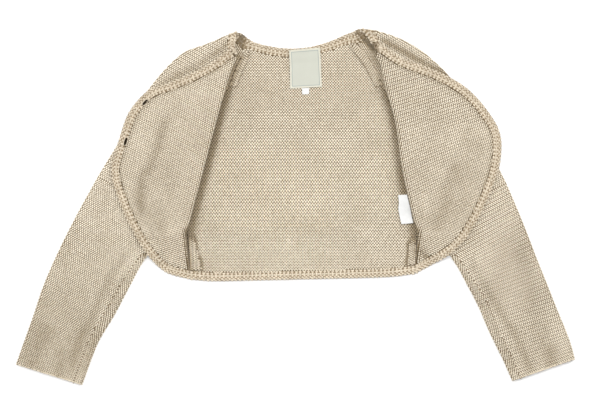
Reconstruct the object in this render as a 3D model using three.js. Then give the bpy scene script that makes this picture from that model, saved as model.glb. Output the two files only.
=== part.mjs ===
/**
 * Cropped cardigan, knitted in garter stitch, with raglan sleeves and a crocheted border.
 *
 * It lies open on a flat surface. The back is down, with its inside up. Each front is turned outward on a
 * fold beside its raglan seam, so that it lies over the sleeve with its inside up. The sleeves lie flat,
 * outside up, each one piece of cloth folded along the overarm and seamed under the arm.
 *
 * Millimetres. +X is to the right and +Y towards the neck of the laid-out garment, +Z is up, and z = 0 is
 * the surface that it lies on. The origin is the middle of that surface, under the garment.
 */
import * as THREE from 'three';

// ---------------------------------------------------------------- driving dimensions

const CLOTH = 2.6; // thickness of the knitted cloth
const LAYER_GAP = 0.8; // air between two layers that lie on each other
const SEAM_GAP = 0.4; // between the cut edges of two pieces that are sewn together
const TRIM_WIDTH = 14.6; // of the crocheted border, cord included
const TRIM_BODY = 3.2; // its thickness over the eyelets
const TRIM_CORD = 4.4; // its thickness at the outer cord
const ROLL_REACH = 30; // how far the raised roll of a turned front takes to settle
const DROOP_START = 8; // how far a front stays level past the sleeve that carries it
const DROOP_REACH = 25; // and how far it then takes to come down to the surface
const ALLOWANCE = 1.5; // thickness of a pressed seam allowance
const LABEL = 0.8; // thickness of a woven label
const BUTTON = { radius: 7.5, thickness: 3, sides: 16 };
const BUTTONHOLE = { length: 12, width: 3.4, taper: 0.6 }; // "taper" is how far each end takes to close

const LEVEL = CLOTH + LAYER_GAP; // from one layer to the next
const middle = (layer) => CLOTH / 2 + (layer - 1) * LEVEL; // height of a layer's middle
const FOLD_RADIUS = LEVEL / 2; // of the middle of the cloth, where a sleeve turns over
const FOLD_OUT = FOLD_RADIUS + CLOTH / 2; // from the bend's axis to the sleeve's outline

// ---------------------------------------------------------------- tables, a row for each section

// The sleeves, from the neck to the cuff. "outer" is the overarm fold. Down to the underarm the cloth ends
// at the raglan seams: "top" is the front one and "under" the back one. Below it "inner" is the fold under
// the arm, "seam" how far in from that fold the underarm seam lies, and "puff" how far the top stands up.
const SLEEVES = {
  left: [
    { at: 'neck', outer: [-119, 300.5], top: [-120, 269], under: [-90, 273] },
    { at: 'shoulder', outer: [-155, 285], top: [-125, 246], under: [-104, 247] },
    { at: 'shoulder', outer: [-199, 267], top: [-131, 221], under: [-117, 214] },
    { at: 'upper arm', outer: [-263, 197], top: [-149, 150], under: [-144, 148] },
    { at: 'upper arm', outer: [-305, 120], top: [-173, 60], under: [-171, 59] },
    { at: 'armpit', outer: [-343, 57], top: [-195, -21], under: [-195, -21] },
    { at: 'underarm', outer: [-346, 52], inner: [-197, -27], seam: 4, puff: 0 },
    { at: 'arm', outer: [-384, -17], inner: [-260, -88], seam: 9, puff: 0 },
    { at: 'arm', outer: [-417, -83], inner: [-288, -137], seam: 15, puff: 1.2 },
    { at: 'arm', outer: [-440, -136], inner: [-316, -190], seam: 17, puff: 2.4 },
    { at: 'arm', outer: [-457, -186], inner: [-344, -237], seam: 17, puff: 2.4 },
    { at: 'cuff', outer: [-489, -276], inner: [-373, -312], seam: 15, puff: 1.4 },
  ],
  right: [
    { at: 'neck', outer: [141, 308.6], top: [152, 274], under: [108, 284] },
    { at: 'shoulder', outer: [181, 295], top: [161, 251], under: [132, 253] },
    { at: 'shoulder', outer: [222, 272], top: [168, 218], under: [153, 214] },
    { at: 'upper arm', outer: [279, 216], top: [185, 150], under: [176, 150] },
    { at: 'upper arm', outer: [323, 132], top: [199, 62], under: [196, 62] },
    { at: 'armpit', outer: [366, 47], top: [218, -25], under: [218, -25] },
    { at: 'underarm', outer: [369, 41], inner: [220, -31], seam: 4, puff: 0 },
    { at: 'arm', outer: [397, -25], inner: [274, -92], seam: 9, puff: 0 },
    { at: 'arm', outer: [425, -97], inner: [302, -141], seam: 15, puff: 1.2 },
    { at: 'arm', outer: [439, -132], inner: [320, -176], seam: 17, puff: 2.4 },
    { at: 'arm', outer: [460, -185], inner: [339, -220], seam: 17, puff: 2.4 },
    { at: 'elbow', outer: [479, -232], inner: [363, -269], seam: 16, puff: 2 },
    { at: 'cuff', outer: [489, -267], inner: [379, -305], seam: 15, puff: 1.4 },
  ],
};
const RAGLAN_STEPS = [1, 1, 3, 4, 4]; // sections that the tables' raglan rows are divided into
const ARM_STEPS = { left: [3, 2, 2, 2, 3], right: [3, 2, 1, 2, 2, 1] }; // and those of the arm
const SIDE_STEPS = [1, 1, 2, 1]; // and of the side seam
const FOLD_POINTS = 5; // round each fold of a sleeve
const EDGE_SPACING = 2.5; // between the points at a sleeve's raglan edge that go on into the underarm fold
const UNDER_SHARES = [0.35, 0.7]; // where the points of the under half lie, from its edge to the overarm fold
const TOP_SHARES = [ // and those of the top half, with how much of the puff each one stands up
  { across: 0.25, puff: 0.7 }, { across: 0.5, puff: 1 }, { across: 0.75, puff: 0.85 }, { across: 1, puff: 0.3 },
];

// Where each front turns over, from the neck to the hem: "seam" is the raglan or side seam that it starts
// from, "fold" the edge of the roll and "crest" the height of the middle of its cloth. Above the underarm
// the cloth is tucked under the roll. Below, it stands up beside the side seam, and it is flat at the hem.
const TURNS = {
  left: [
    { form: 'tucked', fold: [-102, 260], seam: [-120, 269], crest: 8.3 },
    { form: 'tucked', fold: [-109, 246], seam: [-125, 246], crest: 9.4 },
    { form: 'tucked', fold: [-118, 221], seam: [-131, 221], crest: 10.6 },
    { form: 'tucked', fold: [-138, 150], seam: [-149, 150], crest: 11.4 },
    { form: 'tucked', fold: [-162, 60], seam: [-173, 60], crest: 11.4 },
    { form: 'tucked', fold: [-184, -23], seam: [-195, -21], crest: 11.4 },
    { form: 'leaning', fold: [-188, -43], seam: [-192, -43], crest: 10.8 },
    { form: 'standing', fold: [-190, -60], seam: [-190, -60], crest: 9.4 },
    { form: 'standing', fold: [-192, -86], seam: [-187, -86], crest: 6 },
    { form: 'flat', fold: [-186, -113], seam: [-185, -113], crest: CLOTH / 2 },
  ],
  right: [
    { form: 'tucked', fold: [139, 265], seam: [152, 274], crest: 8.3 },
    { form: 'tucked', fold: [147, 253], seam: [161, 251], crest: 9.4 },
    { form: 'tucked', fold: [155, 218], seam: [168, 218], crest: 10.6 },
    { form: 'tucked', fold: [174, 150], seam: [185, 150], crest: 11.4 },
    { form: 'tucked', fold: [187, 64], seam: [199, 62], crest: 11.4 },
    { form: 'tucked', fold: [207, -25], seam: [218, -25], crest: 11.4 },
    { form: 'leaning', fold: [211, -43], seam: [215, -43], crest: 10.8 },
    { form: 'standing', fold: [214, -60], seam: [213, -60], crest: 9.4 },
    { form: 'standing', fold: [214, -86], seam: [211, -86], crest: 6 },
    { form: 'flat', fold: [210, -103], seam: [209, -103], crest: CLOTH / 2 },
  ],
};

// How the cloth rises beside the side seam: "out" from the seam, "up" in shares of the crest.
const TURN_PROFILES = {
  leaning: [
    { out: 2.4, up: 0.26 }, { out: 1.2, up: 0.4 }, { out: -0.4, up: 0.52 }, { out: -1, up: 0.68 },
    { out: 0.4, up: 0.86 }, { out: 3, up: 0.97 }, { out: 7, up: 1 },
  ],
  standing: [
    { out: 2.2, up: 0.03 }, { out: 2, up: 0.3 }, { out: 2, up: 0.52 }, { out: 2.2, up: 0.72 },
    { out: 3, up: 0.88 }, { out: 4.5, up: 0.97 }, { out: 7, up: 1 },
  ],
  flat: [0.6, 1.6, 2.6, 3.6, 4.6, 5.8, 7].map((out) => ({ out, up: 1 })),
};

// Outline of each front's border, from the neck round the front edge to the side seam at the hem.
const FRONT_EDGES = {
  left: [
    [-116, 276], [-155, 248], [-220, 218], [-255, 205], [-290, 167], [-309, 116],
    [-323, 64], [-310, 11], [-277, -59], [-255, -90], [-228, -115], [-185, -128],
  ],
  right: [
    [153, 284], [183, 263], [253, 235], [300, 207], [334, 171], [358, 129],
    [358, 76], [339, 17], [299, -57], [271, -84], [236, -104], [209, -118],
  ],
};
const EDGE_CORNER = 8; // the row of that outline where the front edge becomes the hem
const SQUARE_SHARE = 0.07; // of the outline, at its end, where the border turns square to the back's hem
const HEM_STEPS = 10; // sections of the border along a front's hem
const FRONT_COLUMNS = 12; // points across a turned front, from its roll to the border
const TRIM_JOIN = 0.2; // half of the gap between two stretches of the border
const BUTTONHOLES = { left: [182, 261] }; // distance of each along the front edge from the neck
const BUTTONS = {
  button_upper: { place: [309, 184, 1.1], tilt: 0.14 },
  button_lower: { place: [340, 119, 1.7], tilt: 0.16 },
};

// Seam allowances on the inside of the back: each row goes from the seam to the allowance's free edge.
const ALLOWANCES = {
  seam_raglan_left: [
    { from: [-88, 270], to: [-80, 270] }, { from: [-100, 247], to: [-90, 246] },
    { from: [-114, 212], to: [-104, 210] },
  ],
  seam_raglan_right: [
    { from: [106, 282], to: [96, 281] }, { from: [130, 252], to: [119, 249] },
    { from: [151, 212], to: [141, 209] },
  ],
  seam_side_left: [
    { from: [-186, -52], to: [-176, -52] }, { from: [-184, -80], to: [-171, -80] },
    { from: [-183, -111], to: [-164, -111] },
  ],
  seam_side_right: [
    { from: [209, -55], to: [200, -55] }, { from: [209, -80], to: [198, -80] },
    { from: [207, -102], to: [196, -103] },
  ],
};

// Labels: rows from top to bottom, "rise" over the border that the neck label is sewn across.
const LABELS = {
  neck_label: [
    { from: [-11, 273], to: [43, 278], rise: 1.9 }, { from: [-11, 267], to: [43.5, 271], rise: 1 },
    { from: [-10.5, 259], to: [44, 262], rise: 0.8 }, { from: [-10, 250], to: [44.5, 253] },
    { from: [-9.5, 206], to: [46.5, 209] },
  ],
  size_tab: [{ from: [11.5, 206], to: [24, 206.5] }, { from: [11.5, 196], to: [24, 196.5] }],
  care_label: [
    { from: [179.5, 20], to: [195, 21] }, { from: [181, 6], to: [198.5, 6] },
    { from: [179.5, -4], to: [201, -4] }, { from: [185, -31], to: [206, -29] },
  ],
};

// Back hem and the back's side seams, from the underarm down.
const BACK_COLUMNS = 13;
const HEM_SECTIONS = 22; // of its border
const HEM = [[-185, -128], [-150, -131], [-80, -130], [8, -128], [96, -126], [174, -123], [209, -118]];
const SIDE_SEAMS = {
  left: [[-195, -21], [-192, -43], [-190, -60], [-187, -86], [-185, -113]],
  right: [[218, -25], [215, -43], [213, -60], [211, -86], [209, -103]],
};

// The neck border, from the left front over both shoulders to the right front: "sewn" is its edge at the
// cloth and "free" the outer cord. At each shoulder it turns over twice: with the front at the raglan seam,
// and with the sleeve at the overarm fold. In between it lies on the sleeve's top with its outside up.
const NECK = [
  { form: 'front', sewn: [-106, 265], free: [-116, 277] },
  { form: 'raglan turn', sewn: [-102.8, 263.4], free: [-103, 284] },
  { form: 'sleeve top', sewn: [-117.5, 272], free: [-103.3, 287] },
  { form: 'sleeve top', sewn: [-118.4, 284], free: [-103.5, 293] },
  { form: 'overarm turn', sewn: [-117.7, 301], free: [-104, 307] },
  { form: 'sleeve under', sewn: [-105, 288.5], free: [-95.5, 304.5] },
  { form: 'back', sewn: [-91, 276], free: [-86.5, 298] },
  { form: 'back', sewn: [-78, 275.5], free: [-77, 290] },
  { form: 'back', sewn: [-46, 266], free: [-44, 281] },
  { form: 'back', sewn: [-11, 262], free: [-11, 277] },
  { form: 'back', sewn: [29, 265], free: [26, 280] },
  { form: 'back', sewn: [66, 275], free: [61, 290] },
  { form: 'back', sewn: [94, 285], free: [88, 302] },
  { form: 'back', sewn: [109.5, 286.5], free: [98, 306] },
  { form: 'sleeve under', sewn: [125, 297.5], free: [106, 309] },
  { form: 'overarm turn', sewn: [139.2, 309], free: [114, 312.2] },
  { form: 'sleeve top', sewn: [143.2, 296], free: [121, 302] },
  { form: 'sleeve top', sewn: [149, 279], free: [130, 292] },
  { form: 'raglan turn', sewn: [139.6, 267.6], free: [131.5, 288.5] },
  { form: 'front', sewn: [143.2, 273.2], free: [151.7, 285.3] },
];
const NECK_STEPS = 2; // sections between two rows across the back

// The neck border where it lies flat: "base" is the height of its outside, "up" the way its inside faces.
const NECK_LEVELS = {
  front: { base: 2 * LEVEL, up: 1, thickness: TRIM_CORD },
  'sleeve top': { base: LEVEL + CLOTH, up: -1, thickness: CLOTH },
  'sleeve under': { base: 0, up: 1, thickness: CLOTH },
  back: { base: 0, up: 1, thickness: TRIM_CORD },
};

// And where it turns over: "centre" is the height of the turn's axis, "radius" the distance of the border's
// outside from it. "inside" is 1 where the border's inside faces out of the turn and -1 where it faces in.
// "turn" is the side of the line from sewn to free edge that the turn lies on.
const NECK_TURNS = {
  'raglan turn': { centre: 2 * LEVEL - LAYER_GAP / 2, radius: LAYER_GAP / 2, inside: 1, turn: -1 },
  'overarm turn': { centre: FOLD_OUT, radius: FOLD_OUT, inside: -1, turn: 1 },
};

// Section of the border: "across" runs from the cloth to the outer cord, "up" is in shares of the cord.
const TRIM_SECTION = [
  { across: 0.0, up: 0.1 }, { across: 0.06, up: 0 }, { across: 0.93, up: 0 }, { across: 1, up: 0.35 },
  { across: 0.97, up: 0.8 }, { across: 0.86, up: 1 }, { across: 0.68, up: TRIM_BODY / TRIM_CORD },
  { across: 0.05, up: TRIM_BODY / TRIM_CORD },
];

// How far up or down a panel its cross lines take the shape of its neck edge or hem: a higher power keeps
// the shape nearer to the edge.
const FOLLOW = { backNeck: 4, backHem: 8, frontHem: 6 };
const SAMPLES = 400; // points that a long curve is measured with

// ---------------------------------------------------------------- small tools

const flat = ([x, y]) => new THREE.Vector3(x, y, 0);
const at = (v, z) => new THREE.Vector3(v.x, v.y, z);
const lerp = (a, b, f) => a.clone().lerp(b, f);
const ease = (x) => THREE.MathUtils.smoothstep(x, 0, 1);
const curveThrough = (points) => new THREE.CatmullRomCurve3(points, false, 'centripetal');
const spread = (count) => Array.from({ length: count }, (_, i) => i / (count - 1));
const direction = (a, b) => b.clone().sub(a).setZ(0).normalize();
const turnedLeft = (v) => new THREE.Vector3(-v.y, v.x, 0);

/** Sections between the given ones: each column of points becomes a smooth curve. */
function refine(sections, steps) {
  const columns = sections[0].map((_, j) => curveThrough(sections.map((section) => section[j])));
  const marks = steps.flatMap((count, i) => spread(count + 1).slice(1).map((f) => (i + f) / steps.length));
  return [0, ...marks].map((mark) => columns.map((column) => column.getPoint(mark)));
}

/** A closed body from its points and faces, turned so that the faces look outward. */
function solid(points, faces) {
  const geometry = new THREE.BufferGeometry();
  const coordinates = points.flatMap((point) => point.toArray());
  geometry.setAttribute('position', new THREE.Float32BufferAttribute(coordinates, 3));
  const volume = faces.reduce((sum, [a, b, c]) => {
    const cross = new THREE.Vector3().crossVectors(points[b], points[c]);
    return sum + points[a].dot(cross);
  }, 0);
  const outward = volume < 0 ? faces.map(([a, b, c]) => [a, c, b]) : faces;
  geometry.setIndex(outward.flat());
  geometry.computeVertexNormals();
  return geometry;
}

/** A wall of cloth: a grid of points in its middle, thickened to both sides, never below the surface. */
function wall(grid, thickness) {
  const rows = grid.length;
  const columns = grid[0].length;
  const half = thickness / 2;
  const sides = [[], []];
  for (let i = 0; i < rows; i += 1) {
    for (let j = 0; j < columns; j += 1) {
      const along = grid[Math.min(i + 1, rows - 1)][j].clone().sub(grid[Math.max(i - 1, 0)][j]);
      const across = grid[i][Math.min(j + 1, columns - 1)].clone().sub(grid[i][Math.max(j - 1, 0)]);
      const normal = along.cross(across).normalize();
      [half, -half].forEach((offset, side) => {
        const point = grid[i][j].clone().addScaledVector(normal, offset);
        sides[side].push(point.setZ(Math.max(point.z, 0)));
      });
    }
  }
  const count = rows * columns;
  const faces = [];
  const quad = (a, b, c, d) => faces.push([a, b, c], [a, c, d]);
  for (let i = 0; i + 1 < rows; i += 1) {
    for (let j = 0; j + 1 < columns; j += 1) {
      const a = i * columns + j;
      const b = a + columns;
      quad(a, b, b + 1, a + 1);
      quad(count + a, count + a + 1, count + b + 1, count + b);
    }
  }
  const rim = [];
  for (let i = 0; i < rows - 1; i += 1) rim.push(i * columns);
  for (let j = 0; j < columns - 1; j += 1) rim.push((rows - 1) * columns + j);
  for (let i = rows - 1; i > 0; i -= 1) rim.push(i * columns + columns - 1);
  for (let j = columns - 1; j > 0; j -= 1) rim.push(j);
  rim.forEach((a, k) => {
    const b = rim[(k + 1) % rim.length];
    quad(b, a, count + a, count + b);
  });
  return solid([...sides[0], ...sides[1]], faces);
}

/** A band: a ring of section points at each station, closed at both ends. */
function band(rings) {
  const size = rings[0].length;
  const faces = [];
  for (let i = 0; i + 1 < rings.length; i += 1) {
    for (let j = 0; j < size; j += 1) {
      const next = (j + 1) % size;
      const [a, b, c, d] = [i * size + j, (i + 1) * size + j, (i + 1) * size + next, i * size + next];
      faces.push([a, b, c], [a, c, d]);
    }
  }
  const last = (rings.length - 1) * size;
  for (let j = 1; j + 1 < size; j += 1) faces.push([0, j, j + 1], [last, last + j + 1, last + j]);
  return solid(rings.flat(), faces);
}

// ---------------------------------------------------------------- sleeves

/** Points on an arc, from one angle in degrees to another. */
const arc = (radius, from, to, count) => spread(count).map((f) => {
  const angle = THREE.MathUtils.degToRad(THREE.MathUtils.lerp(from, to, f));
  return { out: radius * Math.cos(angle), up: radius * Math.sin(angle) };
});

/** One section of a sleeve: from its under edge round the overarm fold to its top edge. */
function sleeveSection(row) {
  const [under, top] = [middle(1), middle(2)];
  const puff = row.puff ?? 0;
  const edgePuff = TOP_SHARES.at(-1).puff * puff;
  const outer = flat(row.outer);
  const points = [];
  const bend = (axis, outward, from, to) => arc(FOLD_RADIUS, from, to, FOLD_POINTS).forEach(({ out, up }) => {
    points.push(at(axis.clone().addScaledVector(outward, out), (under + top) / 2 + up));
  });
  let underStart;
  let topEnd;
  let outward;
  if (row.inner) {
    const inner = flat(row.inner);
    outward = direction(inner, outer);
    underStart = inner.clone().addScaledVector(outward, FOLD_OUT);
    topEnd = inner.clone().addScaledVector(outward, row.seam + SEAM_GAP);
    points.push(at(inner.clone().addScaledVector(outward, row.seam), top + edgePuff));
    bend(underStart, outward, 90, 270);
  } else {
    const edge = flat(row.under);
    const along = direction(edge, outer);
    outward = direction(lerp(edge, flat(row.top), 0.5), outer);
    underStart = edge.clone().addScaledVector(along, FOLD_POINTS * EDGE_SPACING);
    topEnd = flat(row.top);
    for (let k = 0; k <= FOLD_POINTS; k += 1) {
      points.push(at(edge.clone().addScaledVector(along, k * EDGE_SPACING), under));
    }
  }
  const axis = outer.clone().addScaledVector(outward, -FOLD_OUT);
  UNDER_SHARES.forEach((share) => points.push(at(lerp(underStart, axis, share), under)));
  bend(axis, outward, -90, 90);
  TOP_SHARES.forEach(({ across: share, puff: part }) => {
    points.push(at(lerp(axis, topEnd, share), top + part * puff));
  });
  return points;
}

function sleeve(side) {
  const open = SLEEVES[side].filter((row) => row.under).map(sleeveSection);
  const closed = SLEEVES[side].filter((row) => row.inner).map(sleeveSection);
  return wall([...refine(open, RAGLAN_STEPS), ...refine(closed, ARM_STEPS[side])], CLOTH);
}

// ---------------------------------------------------------------- what carries a turned front

/** Outline of what holds a front up: the sleeve, and the tucked cloth beside it. */
function supportOutline(side) {
  const rows = SLEEVES[side];
  const smooth = (points) => curveThrough(points.map(flat)).getPoints(points.length * 4);
  const outer = smooth(rows.map((row) => row.outer));
  const inner = smooth(rows.filter((row) => row.inner).map((row) => row.inner)).reverse();
  const tucked = TURNS[side].filter((row) => row.form === 'tucked');
  const folds = smooth(tucked.map((row) => row.fold)).reverse();
  return [...outer, ...inner, ...folds];
}

/** Distance from a point to an outline: positive outside it, negative inside. */
function distanceOutside(outline, x, y) {
  let nearest = Infinity;
  let inside = false;
  outline.forEach((a, i) => {
    const b = outline[(i + 1) % outline.length];
    const [dx, dy] = [b.x - a.x, b.y - a.y];
    const share = THREE.MathUtils.clamp(((x - a.x) * dx + (y - a.y) * dy) / (dx * dx + dy * dy || 1), 0, 1);
    nearest = Math.min(nearest, Math.hypot(x - a.x - share * dx, y - a.y - share * dy));
    if (a.y > y !== b.y > y && x < a.x + ((y - a.y) / (b.y - a.y)) * dx) inside = !inside;
  });
  return inside ? -nearest : nearest;
}

/** Height of the underside of a turned front: on the sleeve, or drooping past it to the surface. */
function restHeight(support, point) {
  const past = distanceOutside(support, point.x, point.y);
  return 2 * LEVEL * (1 - ease((past - DROOP_START) / DROOP_REACH));
}

// ---------------------------------------------------------------- fronts

const SIGN = { left: -1, right: 1 }; // of X, outward from the middle of the garment

/** Unit vector across an outline's tangent, in the plane, on the side of the given X sign. */
function across(tangent, sign) {
  const normal = turnedLeft(tangent).normalize();
  return normal.multiplyScalar(Math.sign(normal.x) === sign ? 1 : -1);
}

/** Points moved in from the outline of a front's border, the same for the border and for the cloth in it. */
function frontEdge(side) {
  const outline = curveThrough(FRONT_EDGES[side].map(flat));
  const up = new THREE.Vector3(0, 1, 0);
  const exact = (share, inset) => {
    const inward = turnedLeft(outline.getTangentAt(share)).multiplyScalar(-SIGN[side]);
    inward.lerp(up, ease((share - 1 + SQUARE_SHARE) / SQUARE_SHARE)).normalize();
    return outline.getPointAt(share).addScaledVector(inward, inset);
  };
  const lengths = outline.getLengths(SAMPLES);
  const length = lengths[SAMPLES];
  const corner = lengths[Math.round((EDGE_CORNER / (FRONT_EDGES[side].length - 1)) * SAMPLES)] / length;
  const toCorner = turnShares(side).map((share) => share * corner);
  const marks = [...toCorner, ...spread(HEM_STEPS).slice(1).map((f) => THREE.MathUtils.lerp(corner, 1, f))];
  const point = (share, inset) => {
    const i = Math.max(1, marks.findIndex((mark) => mark >= share - 1e-9));
    const [from, to] = [marks[i - 1], marks[i]];
    return lerp(exact(from, inset), exact(to, inset), (share - from) / (to - from));
  };
  return { point, marks, corner, length };
}

/** How far down its fold each section of a front lies, as a share of the fold's length. */
function turnShares(side) {
  const folds = turnSections(side).map((section) => section[section.length - 1]);
  const runs = folds.map((fold, i) => (i ? Math.hypot(fold.x - folds[i - 1].x, fold.y - folds[i - 1].y) : 0));
  const total = runs.reduce((sum, run) => sum + run, 0);
  let run = 0;
  return runs.map((step) => {
    run += step;
    return run / total;
  });
}

/** One section through a front's turn: from its seam edge round the roll to where the front lies out. */
function turnSection(row, outward) {
  const seam = flat(row.seam);
  if (row.form === 'tucked') {
    const tuck = middle(2);
    const radius = (row.crest - tuck) / 2;
    const axis = flat(row.fold).addScaledVector(outward, radius + CLOTH / 2);
    const start = at(seam.addScaledVector(outward, -SEAM_GAP), tuck);
    const roll = arc(radius, -90, -270, FOLD_POINTS).map(({ out, up }) => (
      at(axis.clone().addScaledVector(outward, out), tuck + radius + up)));
    return [start, lerp(start, roll[0], 0.5), ...roll];
  }
  return TURN_PROFILES[row.form].map(({ out, up }) => (
    at(seam.clone().addScaledVector(outward, out), up * row.crest)));
}

function turnSections(side) {
  const rows = TURNS[side];
  const foldLine = curveThrough(rows.map((row) => flat(row.fold)));
  const sections = rows.map((row, i) => (
    turnSection(row, across(foldLine.getTangent(i / (rows.length - 1)), SIGN[side]))));
  const armpit = RAGLAN_STEPS.length;
  return [
    ...refine(sections.slice(0, armpit + 1), RAGLAN_STEPS),
    ...refine(sections.slice(armpit), SIDE_STEPS).slice(1),
  ];
}

function front(side) {
  const support = supportOutline(side);
  const edge = frontEdge(side);
  const inset = TRIM_WIDTH + 2.4 * SEAM_GAP;
  const sections = turnSections(side);
  const hem = edge.marks.filter((mark) => mark >= edge.corner).reverse().map((mark) => edge.point(mark, inset));
  if (side === 'left') hem.reverse();
  const lastRow = sections[sections.length - 1];
  const toHem = (x, y) => heightAt(hem, x) - y;
  const corner = edge.point(edge.corner, inset);
  const lastCrest = lastRow[lastRow.length - 1].clone().setZ(0);
  return wall(sections.map((section, i) => {
    const down = turnShares(side)[i];
    const crest = section[section.length - 1];
    const start = crest.clone().setZ(0);
    const end = edge.point(edge.corner * down, inset);
    const lift = crest.z - restHeight(support, crest) - CLOTH / 2;
    const turned = section.map((point, j) => (
      point.clone().setY(point.y + down ** FOLLOW.frontHem * toHem(lastRow[j].x, lastRow[j].y))));
    const laid = spread(FRONT_COLUMNS).slice(1).map((f) => {
      const straight = lerp(lastCrest, corner, f);
      const point = lerp(start, end, f);
      point.y += down ** FOLLOW.frontHem * toHem(straight.x, straight.y);
      const settle = 1 - ease(point.distanceTo(start) / ROLL_REACH);
      return at(point, restHeight(support, point) + CLOTH / 2 + lift * settle);
    });
    return [...turned, ...laid];
  }), CLOTH);
}

// ---------------------------------------------------------------- back

/** Y of a curve where it crosses a given X. */
function heightAt(points, x) {
  const i = Math.max(1, points.findIndex((point) => point.x >= x));
  const [a, b] = [points[i - 1], points[i]];
  return THREE.MathUtils.lerp(a.y, b.y, THREE.MathUtils.clamp((x - a.x) / (b.x - a.x), 0, 1));
}

function backEdge(side) {
  const raglan = SLEEVES[side].filter((row) => row.under).map((row) => [flat(row.under)]);
  const seam = SIDE_SEAMS[side].map((point) => [flat(point)]);
  const clear = new THREE.Vector3(-SIGN[side] * SEAM_GAP * Math.SQRT2, 0, 0);
  const edge = [...refine(raglan, RAGLAN_STEPS), ...refine(seam, SIDE_STEPS).slice(1)];
  return edge.map(([point]) => point.add(clear));
}

function back() {
  const [left, right] = ['left', 'right'].map(backEdge);
  const [top, bottom] = [left[0], left[left.length - 1]];
  const sewn = NECK.filter((row) => row.form === 'back').map((row) => flat(row.sewn));
  const border = curveThrough(sewn).getPoints(NECK_STEPS * (sewn.length - 1)).slice(1, -1);
  const neck = [top, ...border.map((point) => point.setY(point.y - 2.5 * SEAM_GAP)), right[0]];
  const hemPoints = HEM.slice(1, -1).map(([x, y]) => flat([x, y + TRIM_WIDTH + 1.5 * SEAM_GAP]));
  const hem = curveThrough([bottom, ...hemPoints, right[right.length - 1]]).getPoints(SAMPLES);
  return wall(left.map((start, i) => {
    const down = (top.y - start.y) / (top.y - bottom.y);
    return spread(BACK_COLUMNS).map((f) => {
      const point = lerp(start, right[i], f);
      const firstRow = lerp(top, right[0], f);
      const lastRow = lerp(bottom, right[right.length - 1], f);
      point.y += (1 - down) ** FOLLOW.backNeck * (heightAt(neck, firstRow.x) - firstRow.y);
      point.y += down ** FOLLOW.backHem * (heightAt(hem, lastRow.x) - lastRow.y);
      return at(point, middle(1));
    });
  }), CLOTH);
}

// ---------------------------------------------------------------- border

/** A ring of the border's section between its inner and outer edge, on a given surface. */
function trimRing(inner, outer, heightOf, slit = 0) {
  const width = inner.distanceTo(outer);
  return TRIM_SECTION.map(({ across: share, up }) => {
    const reach = Math.max(share, slit / width);
    const point = lerp(inner, outer, reach);
    return at(point, heightOf(point) + up * TRIM_CORD);
  });
}

function frontTrim(side) {
  const support = supportOutline(side);
  const edge = frontEdge(side);
  const slits = (BUTTONHOLES[side] ?? []).map((distance) => distance / edge.length);
  const reach = BUTTONHOLE.length / 2;
  const cut = [
    { along: -reach, open: 0 }, { along: BUTTONHOLE.taper - reach, open: BUTTONHOLE.width },
    { along: reach - BUTTONHOLE.taper, open: BUTTONHOLE.width }, { along: reach, open: 0 },
  ];
  const clear = (reach + 2 * BUTTONHOLE.taper) / edge.length;
  const plain = edge.marks.filter((mark) => slits.every((slit) => Math.abs(mark - slit) > clear));
  const cuts = slits.flatMap((slit) => cut.map(({ along, open }) => (
    { share: slit + along / edge.length, slit: open })));
  const stations = [...plain.map((share) => ({ share, slit: 0 })), ...cuts].sort((a, b) => a.share - b.share);
  const [first, last] = [TRIM_JOIN / edge.length, 1 - TRIM_JOIN / edge.length];
  const heightOf = (point) => restHeight(support, point);
  return band(stations.map(({ share, slit }) => {
    const along = THREE.MathUtils.clamp(share, first, last);
    return trimRing(edge.point(along, TRIM_WIDTH), edge.point(along, 0), heightOf, slit);
  }));
}

/** The rings of one row of the neck border: one where it lies flat, and several round a turn. */
function neckRings({ form, sewn, free }, index) {
  const [from, to] = [flat(sewn), flat(free)];
  const ring = (start, end, up, thickness) => TRIM_SECTION.map(({ across: share, up: rise }) => (
    lerp(start, end, share).addScaledVector(up, rise * thickness)));
  const level = NECK_LEVELS[form];
  if (level) {
    const up = new THREE.Vector3(0, 0, level.up);
    return [ring(at(from, level.base), at(to, level.base), up, level.thickness)];
  }
  const { centre, radius, inside, turn } = NECK_TURNS[form];
  const onLeft = index < NECK.length / 2;
  const outward = turnedLeft(direction(from, to)).multiplyScalar(onLeft ? turn : -turn);
  const reach = inside > 0 ? radius + CLOTH : radius;
  const rings = arc(1, -90, 90, FOLD_POINTS).map(({ out, up }) => {
    const normal = outward.clone().multiplyScalar(out).setZ(up);
    const place = (edge) => (
      edge.clone().addScaledVector(outward, -reach).setZ(centre).addScaledVector(normal, radius));
    return ring(place(from), place(to), normal.clone().multiplyScalar(inside), CLOTH);
  });
  return onLeft ? rings.reverse() : rings;
}

function neckTrim() {
  const rings = NECK.map((row, index) => neckRings(row, index));
  const isBack = NECK.map((row) => row.form === 'back');
  const [first, last] = [isBack.indexOf(true), isBack.lastIndexOf(true)];
  const across = refine(rings.slice(first, last + 1).flat(), Array(last - first).fill(NECK_STEPS));
  return band([...rings.slice(0, first).flat(), ...across, ...rings.slice(last + 1).flat()]);
}

function hemTrim() {
  const outline = curveThrough(HEM.map(flat));
  const join = TRIM_JOIN / outline.getLength();
  return band(spread(HEM_SECTIONS).map((f) => {
    const outer = outline.getPointAt(THREE.MathUtils.clamp(f, join, 1 - join));
    return trimRing(outer.clone().setY(outer.y + TRIM_WIDTH), outer, () => 0);
  }));
}

// ---------------------------------------------------------------- small pieces on the inside of the back

/** A thin strip that lies on the back: rows of its two long edges, each at its own height above it. */
const strip = (rows, thickness) => wall(rows.map(({ from, to, rise = 0 }) => {
  const z = CLOTH + SEAM_GAP + thickness / 2 + rise;
  return [at(flat(from), z), at(lerp(flat(from), flat(to), 0.5), z), at(flat(to), z)];
}), thickness);

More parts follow.
